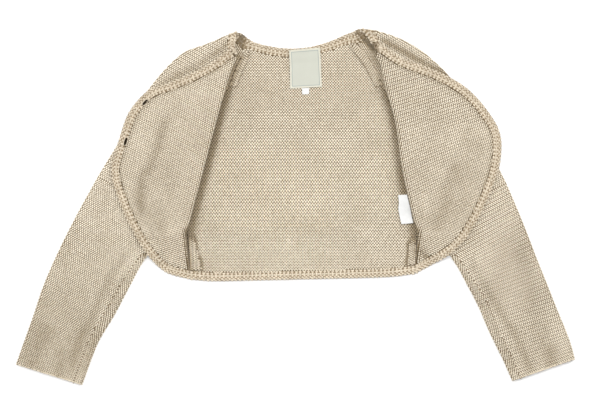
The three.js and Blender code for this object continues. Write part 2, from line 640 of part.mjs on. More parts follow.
/** A button: a shallow turned disc, tilted to lie against the cloth above it. */
function button({ place, tilt }) {
  const { radius, thickness, sides } = BUTTON;
  const profile = [
    [0, 0], [0.8 * radius, 0], [radius, 0.3 * thickness], [radius, 0.75 * thickness],
    [0.86 * radius, thickness], [0.66 * radius, 0.7 * thickness], [0, 0.7 * thickness],
  ];
  const geometry = new THREE.LatheGeometry(profile.map(([x, y]) => new THREE.Vector2(x, y)), sides);
  geometry.rotateX(Math.PI / 2);
  geometry.rotateY(tilt);
  geometry.translate(...place);
  return geometry;
}

// ---------------------------------------------------------------- the garment

const group = new THREE.Group();
group.name = 'cropped_cardigan';

function add(name, geometry, { color, roughness = 0.95 }) {
  const mesh = new THREE.Mesh(geometry, new THREE.MeshStandardMaterial({ color, roughness, metalness: 0 }));
  mesh.name = name;
  group.add(mesh);
}

const YARN = { color: 0xd1c2ab };
const CORD = { color: 0xd6c9b4 };
const RIBBON = { color: 0xe2e1d5, roughness: 0.7 };
const SATIN = { color: 0xf9faf9, roughness: 0.5 };
const HORN = { color: 0xb9a888, roughness: 0.4 };

add('back_panel', back(), YARN);
['left', 'right'].forEach((side) => {
  add(`sleeve_${side}`, sleeve(side), YARN);
  add(`front_${side}`, front(side), YARN);
  add(`trim_front_${side}`, frontTrim(side), CORD);
});
add('trim_neck', neckTrim(), CORD);
add('trim_hem', hemTrim(), CORD);
Object.entries(ALLOWANCES).forEach(([name, rows]) => add(name, strip(rows, ALLOWANCE), YARN));
add('neck_label', strip(LABELS.neck_label, LABEL), RIBBON);
add('size_tab', strip(LABELS.size_tab, LABEL), SATIN);
add('care_label', strip(LABELS.care_label, LABEL), SATIN);
Object.entries(BUTTONS).forEach(([name, place]) => add(name, button(place), HORN));

export default group;
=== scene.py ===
"""Cropped cardigan in garter stitch with raglan sleeves and a crocheted border, laid open and flat."""

import math

import bmesh
import bpy
import mathutils
import numpy as np
from bpy.props import FloatProperty, FloatVectorProperty, IntProperty, PointerProperty
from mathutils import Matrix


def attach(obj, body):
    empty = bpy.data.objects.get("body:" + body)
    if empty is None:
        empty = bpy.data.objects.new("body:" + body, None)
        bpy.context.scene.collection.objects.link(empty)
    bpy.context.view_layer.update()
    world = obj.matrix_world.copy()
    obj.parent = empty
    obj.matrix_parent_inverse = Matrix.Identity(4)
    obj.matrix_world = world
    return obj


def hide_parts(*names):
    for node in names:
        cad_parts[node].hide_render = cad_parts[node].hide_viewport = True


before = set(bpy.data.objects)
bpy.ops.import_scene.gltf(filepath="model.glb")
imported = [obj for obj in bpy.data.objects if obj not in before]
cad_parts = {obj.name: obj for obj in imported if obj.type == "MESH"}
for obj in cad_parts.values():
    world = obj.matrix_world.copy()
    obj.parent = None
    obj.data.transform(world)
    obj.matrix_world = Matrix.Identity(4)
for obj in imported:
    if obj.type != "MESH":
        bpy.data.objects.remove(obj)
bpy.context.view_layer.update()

bl_info = {
    "name": "Cropped cardigan",
    "version": (1, 0, 0),
    "blender": (4, 5, 0),
    "location": "3D View > Sidebar > Cardigan",
    "description": "Knitted cloth, crocheted border, labels and buttons of a cropped cardigan",
    "category": "Object",
}

# ---------------------------------------------------------------- sizes of the garment, in millimetres

MM = 0.001
CLOTH = 2.6  # thickness of the knitted cloth
LAYER_GAP = 0.8  # air between two layers
SEAM_GAP = 0.4  # between pieces that are sewn to each other
TRIM_WIDTH = 14.6  # of the crocheted border
TRIM_BODY = 3.2  # its thickness over the eyelets
TRIM_CORD = 4.4  # and at the outer cord
TRIM_GAPS = {"front": 2.4 * SEAM_GAP, "neck": 2.5 * SEAM_GAP, "hem": 1.5 * SEAM_GAP}  # from cloth to border
RIDGE = 6.0  # pitch of the ridges on the flat pattern
ROLL_REACH = 30  # how far the raised roll of a turned front takes to settle
DROOP_START, DROOP_REACH = 8, 25  # where a front comes down past the sleeve that carries it
LEVEL = CLOTH + LAYER_GAP
LOW, HIGH = CLOTH / 2, CLOTH / 2 + LEVEL  # middles of the first and second layer
FOLD_RADIUS = LEVEL / 2
FOLD_OUT = FOLD_RADIUS + CLOTH / 2
SIGN = {"left": -1, "right": 1}
UP, AWAY = (0.0, 0.0, 1.0), (0.0, 1.0, 0.0)  # off the floor, and along it toward the neck

SLEEVES = {
    "left": {
        "raglan": [  # overarm fold, front raglan edge, back raglan edge
            ((-119, 300.5), (-120, 269), (-90, 273)), ((-155, 285), (-125, 246), (-104, 247)),
            ((-199, 267), (-131, 221), (-117, 214)), ((-263, 197), (-149, 150), (-144, 148)),
            ((-305, 120), (-173, 60), (-171, 59)), ((-343, 57), (-195, -21), (-195, -21)),
        ],
        "arm": [  # overarm fold, underarm fold, distance of the seam from it, puff
            ((-346, 52), (-197, -27), 4, 0), ((-384, -17), (-260, -88), 9, 0),
            ((-417, -83), (-288, -137), 15, 1.2), ((-440, -136), (-316, -190), 17, 2.4),
            ((-457, -186), (-344, -237), 17, 2.4), ((-489, -276), (-373, -312), 15, 1.4),
        ],
    },
    "right": {
        "raglan": [
            ((141, 308.6), (152, 274), (108, 284)), ((181, 295), (161, 251), (132, 253)),
            ((222, 272), (168, 218), (153, 214)), ((279, 216), (185, 150), (176, 150)),
            ((323, 132), (199, 62), (196, 62)), ((366, 47), (218, -25), (218, -25)),
        ],
        "arm": [
            ((369, 41), (220, -31), 4, 0), ((397, -25), (274, -92), 9, 0),
            ((425, -97), (302, -141), 15, 1.2), ((439, -132), (320, -176), 17, 2.4),
            ((460, -185), (339, -220), 17, 2.4), ((479, -232), (363, -269), 16, 2),
            ((489, -267), (379, -305), 15, 1.4),
        ],
    },
}
PUFF = ((0, 0.25, 0.5, 0.75, 1), (0, 0.7, 1, 0.85, 0.3))  # share of the puff across the top half

TURNS = {  # form, edge of the roll, seam that it starts from, height of the crest
    "left": [
        ("tucked", (-102, 260), (-120, 269), 8.3), ("tucked", (-109, 246), (-125, 246), 9.4),
        ("tucked", (-118, 221), (-131, 221), 10.6), ("tucked", (-138, 150), (-149, 150), 11.4),
        ("tucked", (-162, 60), (-173, 60), 11.4), ("tucked", (-184, -23), (-195, -21), 11.4),
        ("leaning", (-188, -43), (-192, -43), 10.8), ("standing", (-190, -60), (-190, -60), 9.4),
        ("standing", (-192, -86), (-187, -86), 6), ("flat", (-186, -113), (-185, -113), LOW),
    ],
    "right": [
        ("tucked", (139, 265), (152, 274), 8.3), ("tucked", (147, 253), (161, 251), 9.4),
        ("tucked", (155, 218), (168, 218), 10.6), ("tucked", (174, 150), (185, 150), 11.4),
        ("tucked", (187, 64), (199, 62), 11.4), ("tucked", (207, -25), (218, -25), 11.4),
        ("leaning", (211, -43), (215, -43), 10.8), ("standing", (214, -60), (213, -60), 9.4),
        ("standing", (214, -86), (211, -86), 6), ("flat", (210, -103), (209, -103), LOW),
    ],
}
TURN_PROFILES = {  # distance out from the seam, share of the crest's height
    "leaning": [(2.4, 0.26), (1.2, 0.4), (-0.4, 0.52), (-1, 0.68), (0.4, 0.86), (3, 0.97), (7, 1)],
    "standing": [(2.2, 0.03), (2, 0.3), (2, 0.52), (2.2, 0.72), (3, 0.88), (4.5, 0.97), (7, 1)],
    "flat": [(0.6, 1), (1.6, 1), (2.6, 1), (3.6, 1), (4.6, 1), (5.8, 1), (7, 1)],
}
RAGLAN_ROWS = 6  # rows of the turn beside the raglan seam; the rest stand beside the side seam

FRONT_EDGES = {  # outer edge of each front's border, from the neck to the side seam at the hem
    "left": [
        (-116, 276), (-155, 248), (-220, 218), (-255, 205), (-290, 167), (-309, 116),
        (-323, 64), (-310, 11), (-277, -59), (-255, -90), (-228, -115), (-185, -128),
    ],
    "right": [
        (153, 284), (183, 263), (253, 235), (300, 207), (334, 171), (358, 129),
        (358, 76), (339, 17), (299, -57), (271, -84), (236, -104), (209, -118),
    ],
}
EDGE_CORNER = 8  # the row where the front edge becomes the hem
SQUARE_SHARE = 0.07  # of the edge, at its end, where it turns square to the back's hem
TRIM_JOIN = 0.2  # how far a front's border ends from those that it meets

ALLOWANCES = {  # rows from the seam to the free edge of each allowance on the inside of the back
    "seam_raglan_left": [((-88, 270), (-80, 270)), ((-100, 247), (-90, 246)), ((-114, 212), (-104, 210))],
    "seam_raglan_right": [((106, 282), (96, 281)), ((130, 252), (119, 249)), ((151, 212), (141, 209))],
    "seam_side_left": [
        ((-186, -49), (-180.5, -49)), ((-184, -80), (-171.5, -80)), ((-183, -111), (-164, -111)),
    ],
    "seam_side_right": [((210, -51), (205, -51)), ((209, -76), (198, -76)), ((207, -102), (196, -103))],
}

HEM = [(-185, -128), (-150, -131), (-80, -130), (8, -128), (96, -126), (174, -123), (209, -118)]
SIDE_SEAMS = {
    "left": [(-195, -21), (-192, -43), (-190, -60), (-187, -86), (-185, -113)],
    "right": [(218, -25), (215, -43), (213, -60), (211, -86), (209, -103)],
}
NECK = [  # where the neck border lies, its edge at the cloth and its outer cord, left front to right front
    ("front", (-106, 265), (-116, 277)), ("raglan turn", (-102.8, 263.4), (-103, 284)),
    ("sleeve top", (-117.5, 272), (-103.3, 287)), ("sleeve top", (-118.4, 284), (-103.5, 293)),
    ("overarm turn", (-117.7, 301), (-104, 307)), ("sleeve under", (-105, 288.5), (-95.5, 304.5)),
    ("back", (-91, 276), (-86.5, 298)), ("back", (-78, 275.5), (-77, 290)),
    ("back", (-46, 266), (-44, 281)), ("back", (-11, 262), (-11, 277)),
    ("back", (29, 265), (26, 280)), ("back", (66, 275), (61, 290)),
    ("back", (94, 285), (88, 302)), ("back", (109.5, 286.5), (98, 306)),
    ("sleeve under", (125, 297.5), (106, 309)), ("overarm turn", (139.2, 309), (114, 312.2)),
    ("sleeve top", (143.2, 296), (121, 302)), ("sleeve top", (149, 279), (130, 292)),
    ("raglan turn", (139.6, 267.6), (131.5, 288.5)), ("front", (143.2, 273.2), (151.7, 285.3)),
]
NECK_LEVELS = {  # height of its outside, the way that its inside faces, its thickness
    "front": (2 * LEVEL, 1, TRIM_CORD), "sleeve top": (LEVEL + CLOTH, -1, CLOTH),
    "sleeve under": (0, 1, CLOTH), "back": (0, 1, TRIM_CORD),
}
NECK_TURNS = {  # height and radius of each turn, the way that its inside faces, the side that it lies on
    "raglan turn": (2 * LEVEL - LAYER_GAP / 2, LAYER_GAP / 2, 1, -1),
    "overarm turn": (FOLD_OUT, FOLD_OUT, -1, 1),
}
FOLLOW = {"neck": 4, "hem": 8, "front": 6}  # how closely cross lines near an edge take its shape

ROW_ANGLES = {"left": (40, 32, 28, 26), "right": (35, 28, 19, 17)}  # climb of a front's rows, from the hem up
BUTTONHOLES = (179, 262)  # along the left front's edge from the neck
SLIT_LENGTH, SLIT_WIDTH = 7, 2.2  # half of each buttonhole's length and width
STRIP_START, STRIP_OPEN, STRIP_END = -0.1, 0.29, 0.94  # of a border's width: its ground, also at a buttonhole
BORDER_ROWS = {  # bumps of the crochet: place across the border, size, shift as a share of the pitch
    "Edge": {"Across": -0.43, "Shift": 0.5, "Size": (6.2, 3.3, 2.4), "Closed": 0.5, "Arch": 0.3},
    "Post": {
        "Across": -0.3, "Shift": 0.5, "Size": (5.0, 3.6, 2.2), "Turn": 0.5, "Closed": 0.5, "Segments": 4,
        "Rings": 3,
    },
    "Bead": {"Across": -0.14, "Size": (4.6, 3.3, 3.2), "Turn": 0.5},
    "Second bead": {"Across": -0.15, "Size": (4.6, 3.5, 3.2), "Shift": 0.5, "Turn": 0.5},
    "Arm": {"Across": 0.03, "Size": (4.3, 4.4, 2.8), "Shift": 0.5, "Turn": -0.5},
    "Cord": {"Across": 0.22, "Size": (4.0, 4.6, 4.0), "Turn": -0.4, "Height": 0.4},
    "Second cord": {"Across": 0.37, "Size": (5.2, 4.0, 3.8), "Shift": 0.5, "Turn": -0.55, "Height": 0.4},
}
YARN_LINES = {  # lines of yarn and thread: pitch and size of their bumps, facets, turn and unevenness
    "back seam": {"Pitch": 3.4, "Size": (4.2, 3.4, 1.8), "Segments": 4, "Rings": 3},
    "sleeve seam": {"Pitch": 3.4, "Size": (3.9, 2.2, 1.4), "Segments": 4, "Rings": 3},
    "cuff": {"Pitch": 3.7, "Size": (4.1, 2.8, 3.4), "Turn": 0.5, "Unevenness": 0.5},
    "buttonhole": {"Pitch": 2.0, "Size": (2.3, 1.5, 2.0), "Turn": 0.5},
    "allowance": {"Pitch": 3.2, "Size": (3.6, 1.7, 1.5), "Turn": 0.25},
    "label thread": {"Pitch": 3.2, "Size": (2.1, 0.5, 0.45), "Segments": 4, "Rings": 3},
    "button thread": {"Pitch": 0.8, "Size": (1.4, 0.7, 0.5), "Turn": 0.4},
}
BUMP_SHARES = (0.62, 1.2, 0.12)  # a bump's length of a stitch, its width and its arch of a row
BUMP_EXTRA = 0.6  # added to a bump's length

LABEL_THICKNESS = 0.8
LABELS = {  # rows from top to bottom: left end, right end, rise over what it is sewn across
    "neck_label": [
        ((-11, 273), (43, 278), 1.9), ((-11, 267), (43.5, 271), 1), ((-10.5, 259), (44, 262), 0.8),
        ((-10, 250), (44.5, 253), 0), ((-9.5, 206), (46.5, 209), 0),
    ],
    "size_tab": [((11.5, 206.9), (24, 207.5), 0), ((11.5, 196), (24, 196.5), 0)],
    "care_label": [
        ((179.5, 20), (195, 21), 0), ((181, 6), (198.5, 6), 0), ((179.5, -4), (201, -4), 0),
        ((185, -31), (206, -29), 0),
    ],
}
BUTTONS = {"button_upper": ((309, 184, 1.1), 0.14), "button_lower": ((340, 119, 1.7), 0.16)}  # place, tilt
BUTTON = {
    "radius": 7.5, "thickness": 3.0, "hole": 0.75, "hole_ring": 1.7,
    "profile": [  # shares of the radius and of the thickness, from the back round to the dished front
        (0, 0), (0.78, 0), (0.9, 0.04), (1, 0.3), (1, 0.75), (0.96, 0.93), (0.9, 1), (0.83, 0.97),
        (0.74, 0.8), (0.66, 0.7), (0.4, 0.68), (0, 0.68),
    ],
}
FLOOR_REACH, FLOOR_GAP = 3000, 2.2  # half of the floor's side, and how far it lies under the garment
VIEW_MIDDLE = (0.008, -0.0061)  # below the camera, in metres

GRID = 6.5  # spacing of the cloth's points
BORDER_STEP = 4  # and of a border's
BACK_ROWS = {"raglan": 66, "side": 20}  # of the back beside its seams
BACK_WIDTH = 400  # about the width of the back
FOLD_COLUMNS = 8  # points round a fold
HEAD_COLUMNS = 3  # and between a sleeve's seam and its underarm fold
HEAD_WIDTH = 12.5  # of what stands for those two beside the raglan seam, where the sleeve is open
UNDER_COLUMNS, TOP_COLUMNS = 26, 28  # points across each half of a sleeve
UNDERARM = HEAD_COLUMNS + FOLD_COLUMNS  # the column where a sleeve's lower half starts
OVERARM = UNDERARM + UNDER_COLUMNS + FOLD_COLUMNS // 2  # and the one along its overarm fold
TURN_STEPS = 24  # steps across the roll of a front
TUCK_MARKS, ROLL_MARKS = 2, 4  # marks along its tucked cloth, and one for each eighth of a turn
LAID_COLUMNS = 26  # points across a turned front

# ---------------------------------------------------------------- curves and surfaces


def curve(points, shares):
    """Centripetal Catmull-Rom curve through rows of points, at shares of the way through the rows."""
    rows = np.asarray(points, float)
    last = len(rows) - 1
    found = []
    for share in np.atleast_1d(shares):
        i = min(int(share * last + 1e-9), last - 1)
        w = share * last - i
        b, c = rows[i], rows[i + 1]
        a = rows[i - 1] if i else 2 * b - c
        d = rows[i + 2] if i + 2 <= last else 2 * c - b
        spans = ((a, b), (b, c), (c, d))
        k0, k1, k2 = (np.sum((q - p) ** 2, axis=-1, keepdims=True) ** 0.25 for p, q in spans)
        k1 = np.where(k1 < 1e-4, 1, k1)
        k0, k2 = np.where(k0 < 1e-4, k1, k0), np.where(k2 < 1e-4, k1, k2)
        t1 = ((b - a) / k0 - (c - a) / (k0 + k1) + (c - b) / k1) * k1
        t2 = ((c - b) / k1 - (d - b) / (k1 + k2) + (d - c) / k2) * k1
        found.append(b + t1 * w + (3 * c - 3 * b - 2 * t1 - t2) * w**2 + (2 * b - 2 * c + t1 + t2) * w**3)
    return np.array(found)


def lengths(points):
    """Distance of each point from the first, along them."""
    steps = np.linalg.norm(np.diff(np.asarray(points, float), axis=0), axis=-1)
    return np.concatenate([[0], np.cumsum(steps)])


def at_marks(marks, run, rows):
    """Rows of numbers at marks along a run that is known at each row."""
    rows = np.asarray(rows, float)
    found = np.stack([np.interp(marks, run, column) for column in rows.reshape(len(rows), -1).T], axis=-1)
    return found.reshape(*np.shape(marks), *rows.shape[1:])


def even_shares(points, spacing):
    """Shares of a curve through points that lie about one spacing apart."""
    shares = np.linspace(0, 1, 60 * len(points))
    run = lengths(curve(points, shares))
    count = max(2, round(run[-1] / spacing) + 1)
    return np.interp(np.linspace(0, run[-1], count), run, shares)


def unit(v):
    """Vectors of length 1."""
    v = np.asarray(v, float)
    return v / np.maximum(np.linalg.norm(v, axis=-1, keepdims=True), 1e-12)


def left_of(v):
    """Ways in a plane, turned a quarter to the left."""
    return np.stack([-v[..., 1], v[..., 0]], axis=-1)


def ease(x):
    """0 up to 0, 1 from 1, and a smooth way between."""
    x = np.clip(x, 0, 1)
    return x * x * (3 - 2 * x)


def bell(distance, width):
    """1 at no distance, falling off over a width."""
    return np.exp(-((distance / width) ** 2))


def lifted(points, height):
    """Points of a plane at a height."""
    points = np.asarray(points, float)
    return np.concatenate([points, np.broadcast_to(height, points.shape[:-1])[..., None]], axis=-1)


def grid_normals(grid):
    """Normals of a grid of points, from its own lines."""
    return unit(np.cross(np.gradient(grid, axis=0), np.gradient(grid, axis=1)))


def facing(grid):
    """1 for a grid whose normals point up, and -1 for one whose normals point down."""
    return 1 if grid_normals(grid)[len(grid) // 2, -3, 2] > 0 else -1


def grid_faces(rows, columns, start=0, turned=False):
    """Quads between the points of a grid, numbered from a start."""
    faces = []
    for i in range(rows - 1):
        for j in range(columns - 1):
            a = start + i * columns + j
            quad = (a, a + columns, a + columns + 1, a + 1)
            faces.append(quad[::-1] if turned else quad)
    return faces


def linked(name, data):
    """A new object of the scene."""
    obj = bpy.data.objects.new(name, data)
    bpy.context.scene.collection.objects.link(obj)
    return obj


def new_object(name, points, faces, materials=()):
    """A mesh object from points in millimetres, at the origin."""
    mesh = bpy.data.meshes.new(name)
    mesh.from_pydata((np.asarray(points, float).reshape(-1, 3) * MM).tolist(), [], faces)
    for material in materials:
        mesh.materials.append(material)
    mesh.validate()
    return linked(name, mesh)


def add_attribute(obj, name, values, kind="FLOAT"):
    """A number or a vector at each point."""
    layer = obj.data.attributes.new(name, kind, "POINT")
    field = "vector" if kind == "FLOAT_VECTOR" else "value"
    layer.data.foreach_set(field, np.asarray(values, float).ravel())


def add_uvs(obj, name, places):
    """A UV map that holds one place for each point."""
    layer = obj.data.uv_layers.new(name=name)
    corners = np.zeros(len(obj.data.loops), int)
    obj.data.loops.foreach_get("vertex_index", corners)
    layer.data.foreach_set("uv", np.reshape(places, (-1, 2))[corners].ravel())


def smooth(obj):
    """Shade all the faces of an object smooth."""
    obj.data.polygons.foreach_set("use_smooth", [True] * len(obj.data.polygons))


def shell(name, grid, thickness, material, tone=None):
    """A closed wall, its middle on a grid of points, with its painted shade and tone kept as an attribute."""
    rows, columns = grid.shape[:2]
    normal = grid_normals(grid)
    sides = [grid + normal * (thickness / 2), grid - normal * (thickness / 2)]
    for side in sides:
        side[..., 2] = np.maximum(side[..., 2], 0)
    count = rows * columns
    faces = grid_faces(rows, columns) + grid_faces(rows, columns, count, True)
    rim = [i * columns for i in range(rows - 1)]
    rim += [(rows - 1) * columns + j for j in range(columns - 1)]
    rim += [i * columns + columns - 1 for i in range(rows - 1, 0, -1)]
    rim += list(range(columns - 1, 0, -1))
    for a, b in zip(rim, rim[1:] + rim[:1]):
        faces.append((b, a, count + a, count + b))
    obj = new_object(name, np.concatenate([side.reshape(-1, 3) for side in sides]), faces, [material])
    work = bmesh.new()
    work.from_mesh(obj.data)
    bmesh.ops.recalc_face_normals(work, faces=work.faces)
    work.to_mesh(obj.data)
    work.free()
    smooth(obj)
    if tone is not None:
        add_attribute(obj, "ShadeAndTone", np.tile(np.ravel(tone), 2))
    return obj


# ---------------------------------------------------------------- forms of the cloth


def spaced_rows(sections, line, spacing=GRID):
    """Sections between the given ones, about a spacing apart along a line of their points."""
    return curve(np.array(sections), even_shares(line, spacing))


def sleeve_section(outer, outward, head, under_start, top_end, puff):
    """Points from a sleeve's under edge round the overarm fold to its top edge."""
    axis = outer - outward * FOLD_OUT
    under = np.linspace(under_start, axis, UNDER_COLUMNS + 2)[1:-1]
    shares = np.linspace(0, 1, TOP_COLUMNS + 1)[1:]
    top = axis + shares[:, None] * (top_end - axis)
    knots = np.linspace(0, 1, len(PUFF[0]))
    rise = puff * curve(np.array(PUFF[1])[:, None], np.interp(shares, PUFF[0], knots))[:, 0]
    overarm = fold_arc(axis, outward, -90, 90)
    return np.concatenate([head, lifted(under, LOW), overarm, lifted(top, HIGH + rise)])


def fold_arc(axis, outward, start, stop):
    """Points round a fold between two layers, from one angle to another in degrees."""
    angle = np.radians(np.linspace(start, stop, FOLD_COLUMNS))
    place = axis + FOLD_RADIUS * np.cos(angle)[:, None] * outward
    return lifted(place, (LOW + HIGH) / 2 + FOLD_RADIUS * np.sin(angle))


def sleeve_grid(side):
    """Middle surface of a sleeve, the pattern place of its points, and their place over the shoulder."""
    table = SLEEVES[side]
    open_rows = []
    for outer, top, under in (map(np.array, row) for row in table["raglan"]):
        along = unit(outer - under)
        outward = unit(outer - (under + top) / 2)
        head = lifted(under + along * np.linspace(0, HEAD_WIDTH, UNDERARM)[:, None], LOW)
        open_rows.append(sleeve_section(outer, outward, head, under + along * HEAD_WIDTH, top, 0))
    closed_rows = []
    for outer, inner, seam, puff in table["arm"]:
        outer, inner = np.array(outer, float), np.array(inner, float)
        outward = unit(outer - inner)
        start = inner + outward * FOLD_OUT
        shares = np.linspace(0, 1, HEAD_COLUMNS + 1)[:-1, None]
        lead = inner + outward * (seam + shares * (FOLD_OUT - seam))
        lead = lifted(lead, HIGH + PUFF[1][-1] * puff * (1 - shares[:, 0]))
        head = np.concatenate([lead, fold_arc(start, outward, 90, 270)])
        top_end = inner + outward * (seam + SEAM_GAP)
        closed_rows.append(sleeve_section(outer, outward, head, start, top_end, puff))
    raglan = spaced_rows(open_rows, [row[0] for row in table["raglan"]])
    arm = spaced_rows(closed_rows, [row[0] for row in table["arm"]])
    grid = np.concatenate([raglan, arm])
    run = np.array([lengths(row) for row in grid])
    across = run - run[:, OVERARM, None]
    direction = unit(grid[:, -1, :2] - grid[:, OVERARM, :2])
    step = np.diff(grid[..., :2], axis=0)
    forward = left_of(unit(direction[1:] + direction[:-1])) * -SIGN[side]
    gain = np.abs(np.einsum("ijk,ik->ij", step[:, OVERARM:], forward)).mean(axis=1)
    along = np.concatenate([[0], np.cumsum(gain)])
    pattern = np.stack([across, np.broadcast_to(along[:, None], across.shape)], axis=-1)
    start = len(raglan)  # over the shoulder the rows stay parallel to the arm's first one
    over = slice(start + 1)
    spread = grid[over, OVERARM, None, :2] + across[over, :, None] * direction[over, None]
    spread -= grid[start, OVERARM, :2]
    shoulder = np.stack([spread @ direction[start], along[start] + spread @ forward[start]], axis=-1)
    return grid, pattern, shoulder


def support_outline(side):
    """Outline of what holds a turned front up: the sleeve, and the tucked cloth beside it."""
    table = SLEEVES[side]
    outer = [row[0] for row in table["raglan"] + table["arm"]]
    inner = [row[1] for row in table["arm"]]
    folds = [fold for form, fold, _, _ in TURNS[side] if form == "tucked"]
    outer, inner, folds = (
        curve(line, np.linspace(0, 1, 4 * len(line) + 1)) for line in (outer, inner, folds))
    return np.concatenate([outer, inner[::-1], folds[::-1]])


def distance_outside(outline, points):
    """Distance of points from an outline: positive outside it, negative inside."""
    flat = np.asarray(points, float)[..., :2].reshape(-1, 1, 2)
    a, b = outline[None], np.roll(outline, -1, axis=0)[None]
    edge = b - a
    share = np.clip(((flat - a) * edge).sum(-1) / np.maximum((edge**2).sum(-1), 1e-9), 0, 1)
    nearest = np.linalg.norm(flat - a - share[..., None] * edge, axis=-1).min(axis=1)
    crosses = (a[..., 1] > flat[..., 1]) != (b[..., 1] > flat[..., 1])
    rise = np.where(edge[..., 1] == 0, 1, edge[..., 1])
    at_x = a[..., 0] + (flat[..., 1] - a[..., 1]) / rise * edge[..., 0]
    inside = (crosses & (flat[..., 0] < at_x)).sum(axis=1) % 2 == 1
    return np.where(inside, -nearest, nearest).reshape(np.shape(points)[:-1])


def rest_height(support, points):
    """Height of the underside of a turned front: on the sleeve, or drooping past it to the surface."""
    past = distance_outside(support, points)
    return 2 * LEVEL * (1 - ease((past - DROOP_START) / DROOP_REACH))


class Edge:
    """The outer edge of a front's border, measured along its length."""

    def __init__(self, side):
        self.side = side
        shares = np.linspace(0, 1, 1401)
        self.line = curve(FRONT_EDGES[side], shares)
        self.run = lengths(self.line)
        self.length = self.run[-1]
        corner = EDGE_CORNER / (len(FRONT_EDGES[side]) - 1)
        self.corner = np.interp(corner, shares, self.run) / self.length

    def point(self, share, inset):
        """A point a distance in from the edge, at a share of its length."""
        at = np.clip(share, 0, 1) * self.length
        ahead, behind = (at_marks(np.clip(at + d, 0, self.length), self.run, self.line) for d in (2, -2))
        inward = left_of(unit(ahead - behind)) * -SIGN[self.side]
        square = ease((np.asarray(share) - 1 + SQUARE_SHARE) / SQUARE_SHARE)[..., None]
        inward = unit(inward * (1 - square) + np.array([0, 1]) * square)
        return at_marks(at, self.run, self.line) + inward * inset


def turn_section(form, fold, seam, crest, outward):
    """Points from a front's seam edge round its roll to where it lies out, then along it in steps."""
    marks = np.linspace(0, TUCK_MARKS + ROLL_MARKS, TURN_STEPS + 1)
    fold, seam = np.array(fold, float), np.array(seam, float)
    if form != "tucked":
        profile = curve(TURN_PROFILES[form], marks / marks[-1])
        return lifted(seam + profile[:, :1] * outward, profile[:, 1] * crest)
    radius = (crest - HIGH) / 2
    axis = fold + outward * (radius + CLOTH / 2)
    angle = np.radians(-90 - 45 * np.maximum(marks - TUCK_MARKS, 0))
    place = axis + radius * np.cos(angle)[:, None] * outward
    start = seam - outward * SEAM_GAP
    share = np.minimum(marks / TUCK_MARKS, 1)[:, None]
    place = np.where(share < 1, start + share * (axis - start), place)
    return lifted(place, HIGH + radius + radius * np.sin(angle))


def turn_sections(side):
    """Sections across the roll of a front, from the neck to the hem."""
    rows = TURNS[side]
    folds = np.array([fold for _, fold, _, _ in rows], float)
    sections = []
    for i, (form, fold, seam, crest) in enumerate(rows):
        share = i / (len(rows) - 1)
        ends = curve(folds, [max(share - 0.003, 0), min(share + 0.003, 1)])
        outward = left_of(unit(ends[1] - ends[0]))
        outward = outward * (1 if math.copysign(1, outward[0]) == SIGN[side] else -1)
        sections.append(turn_section(form, fold, seam, crest, outward))
    beside_raglan = spaced_rows(sections[:RAGLAN_ROWS], folds[:RAGLAN_ROWS])
    beside_side = spaced_rows(sections[RAGLAN_ROWS - 1 :], folds[RAGLAN_ROWS - 1 :])
    return np.concatenate([beside_raglan, beside_side[1:]])


def height_at(points, x):
    """Y of a line where it crosses a given X."""
    order = np.argsort(points[:, 0])
    return np.interp(x, points[order, 0], points[order, 1])


def front_grid(side):
    """Middle surface of a front with its roll, and the pattern place of its points."""
    support, edge, turned = support_outline(side), Edge(side), turn_sections(side)
    inset = TRIM_WIDTH + TRIM_GAPS["front"]
    crest = turned[:, -1]
    down = lengths(crest[:, :2])
    down = down / down[-1]
    hem = edge.point(np.linspace(edge.corner, 1, 60), inset)
    corner = edge.point(np.array(edge.corner), inset)
    follow = down[:, None] ** FOLLOW["front"]
    turned = turned.copy()
    last = turned[-1].copy()
    turned[..., 1] += follow * (height_at(hem, last[:, 0]) - last[:, 1])
    ends = edge.point(edge.corner * down, inset)
    shares = np.linspace(0, 1, LAID_COLUMNS + 1)[1:]
    laid = crest[:, None, :2] + shares[None, :, None] * (ends - crest[:, :2])[:, None]
    straight = last[-1, :2] + shares[:, None] * (corner - last[-1, :2])
    laid[..., 1] += follow * (height_at(hem, straight[:, 0]) - straight[:, 1])
    lift = (crest[:, 2] - rest_height(support, crest[:, :2]) - CLOTH / 2)[:, None]
    away = np.linalg.norm(laid - crest[:, None, :2], axis=-1)
    rest = rest_height(support, laid)
    laid = lifted(laid, rest + CLOTH / 2 + lift * (1 - ease(away / ROLL_REACH)))
    grid = np.concatenate([turned, laid], axis=1)
    run = np.array([lengths(row) for row in turned])
    outward = unit(laid[:, 1, :2] - crest[:, :2])
    rolled = turned[:, -1:, :2] - (run[:, -1:] - run)[..., None] * outward[:, None]
    return grid, np.concatenate([rolled, laid[..., :2]], axis=1)


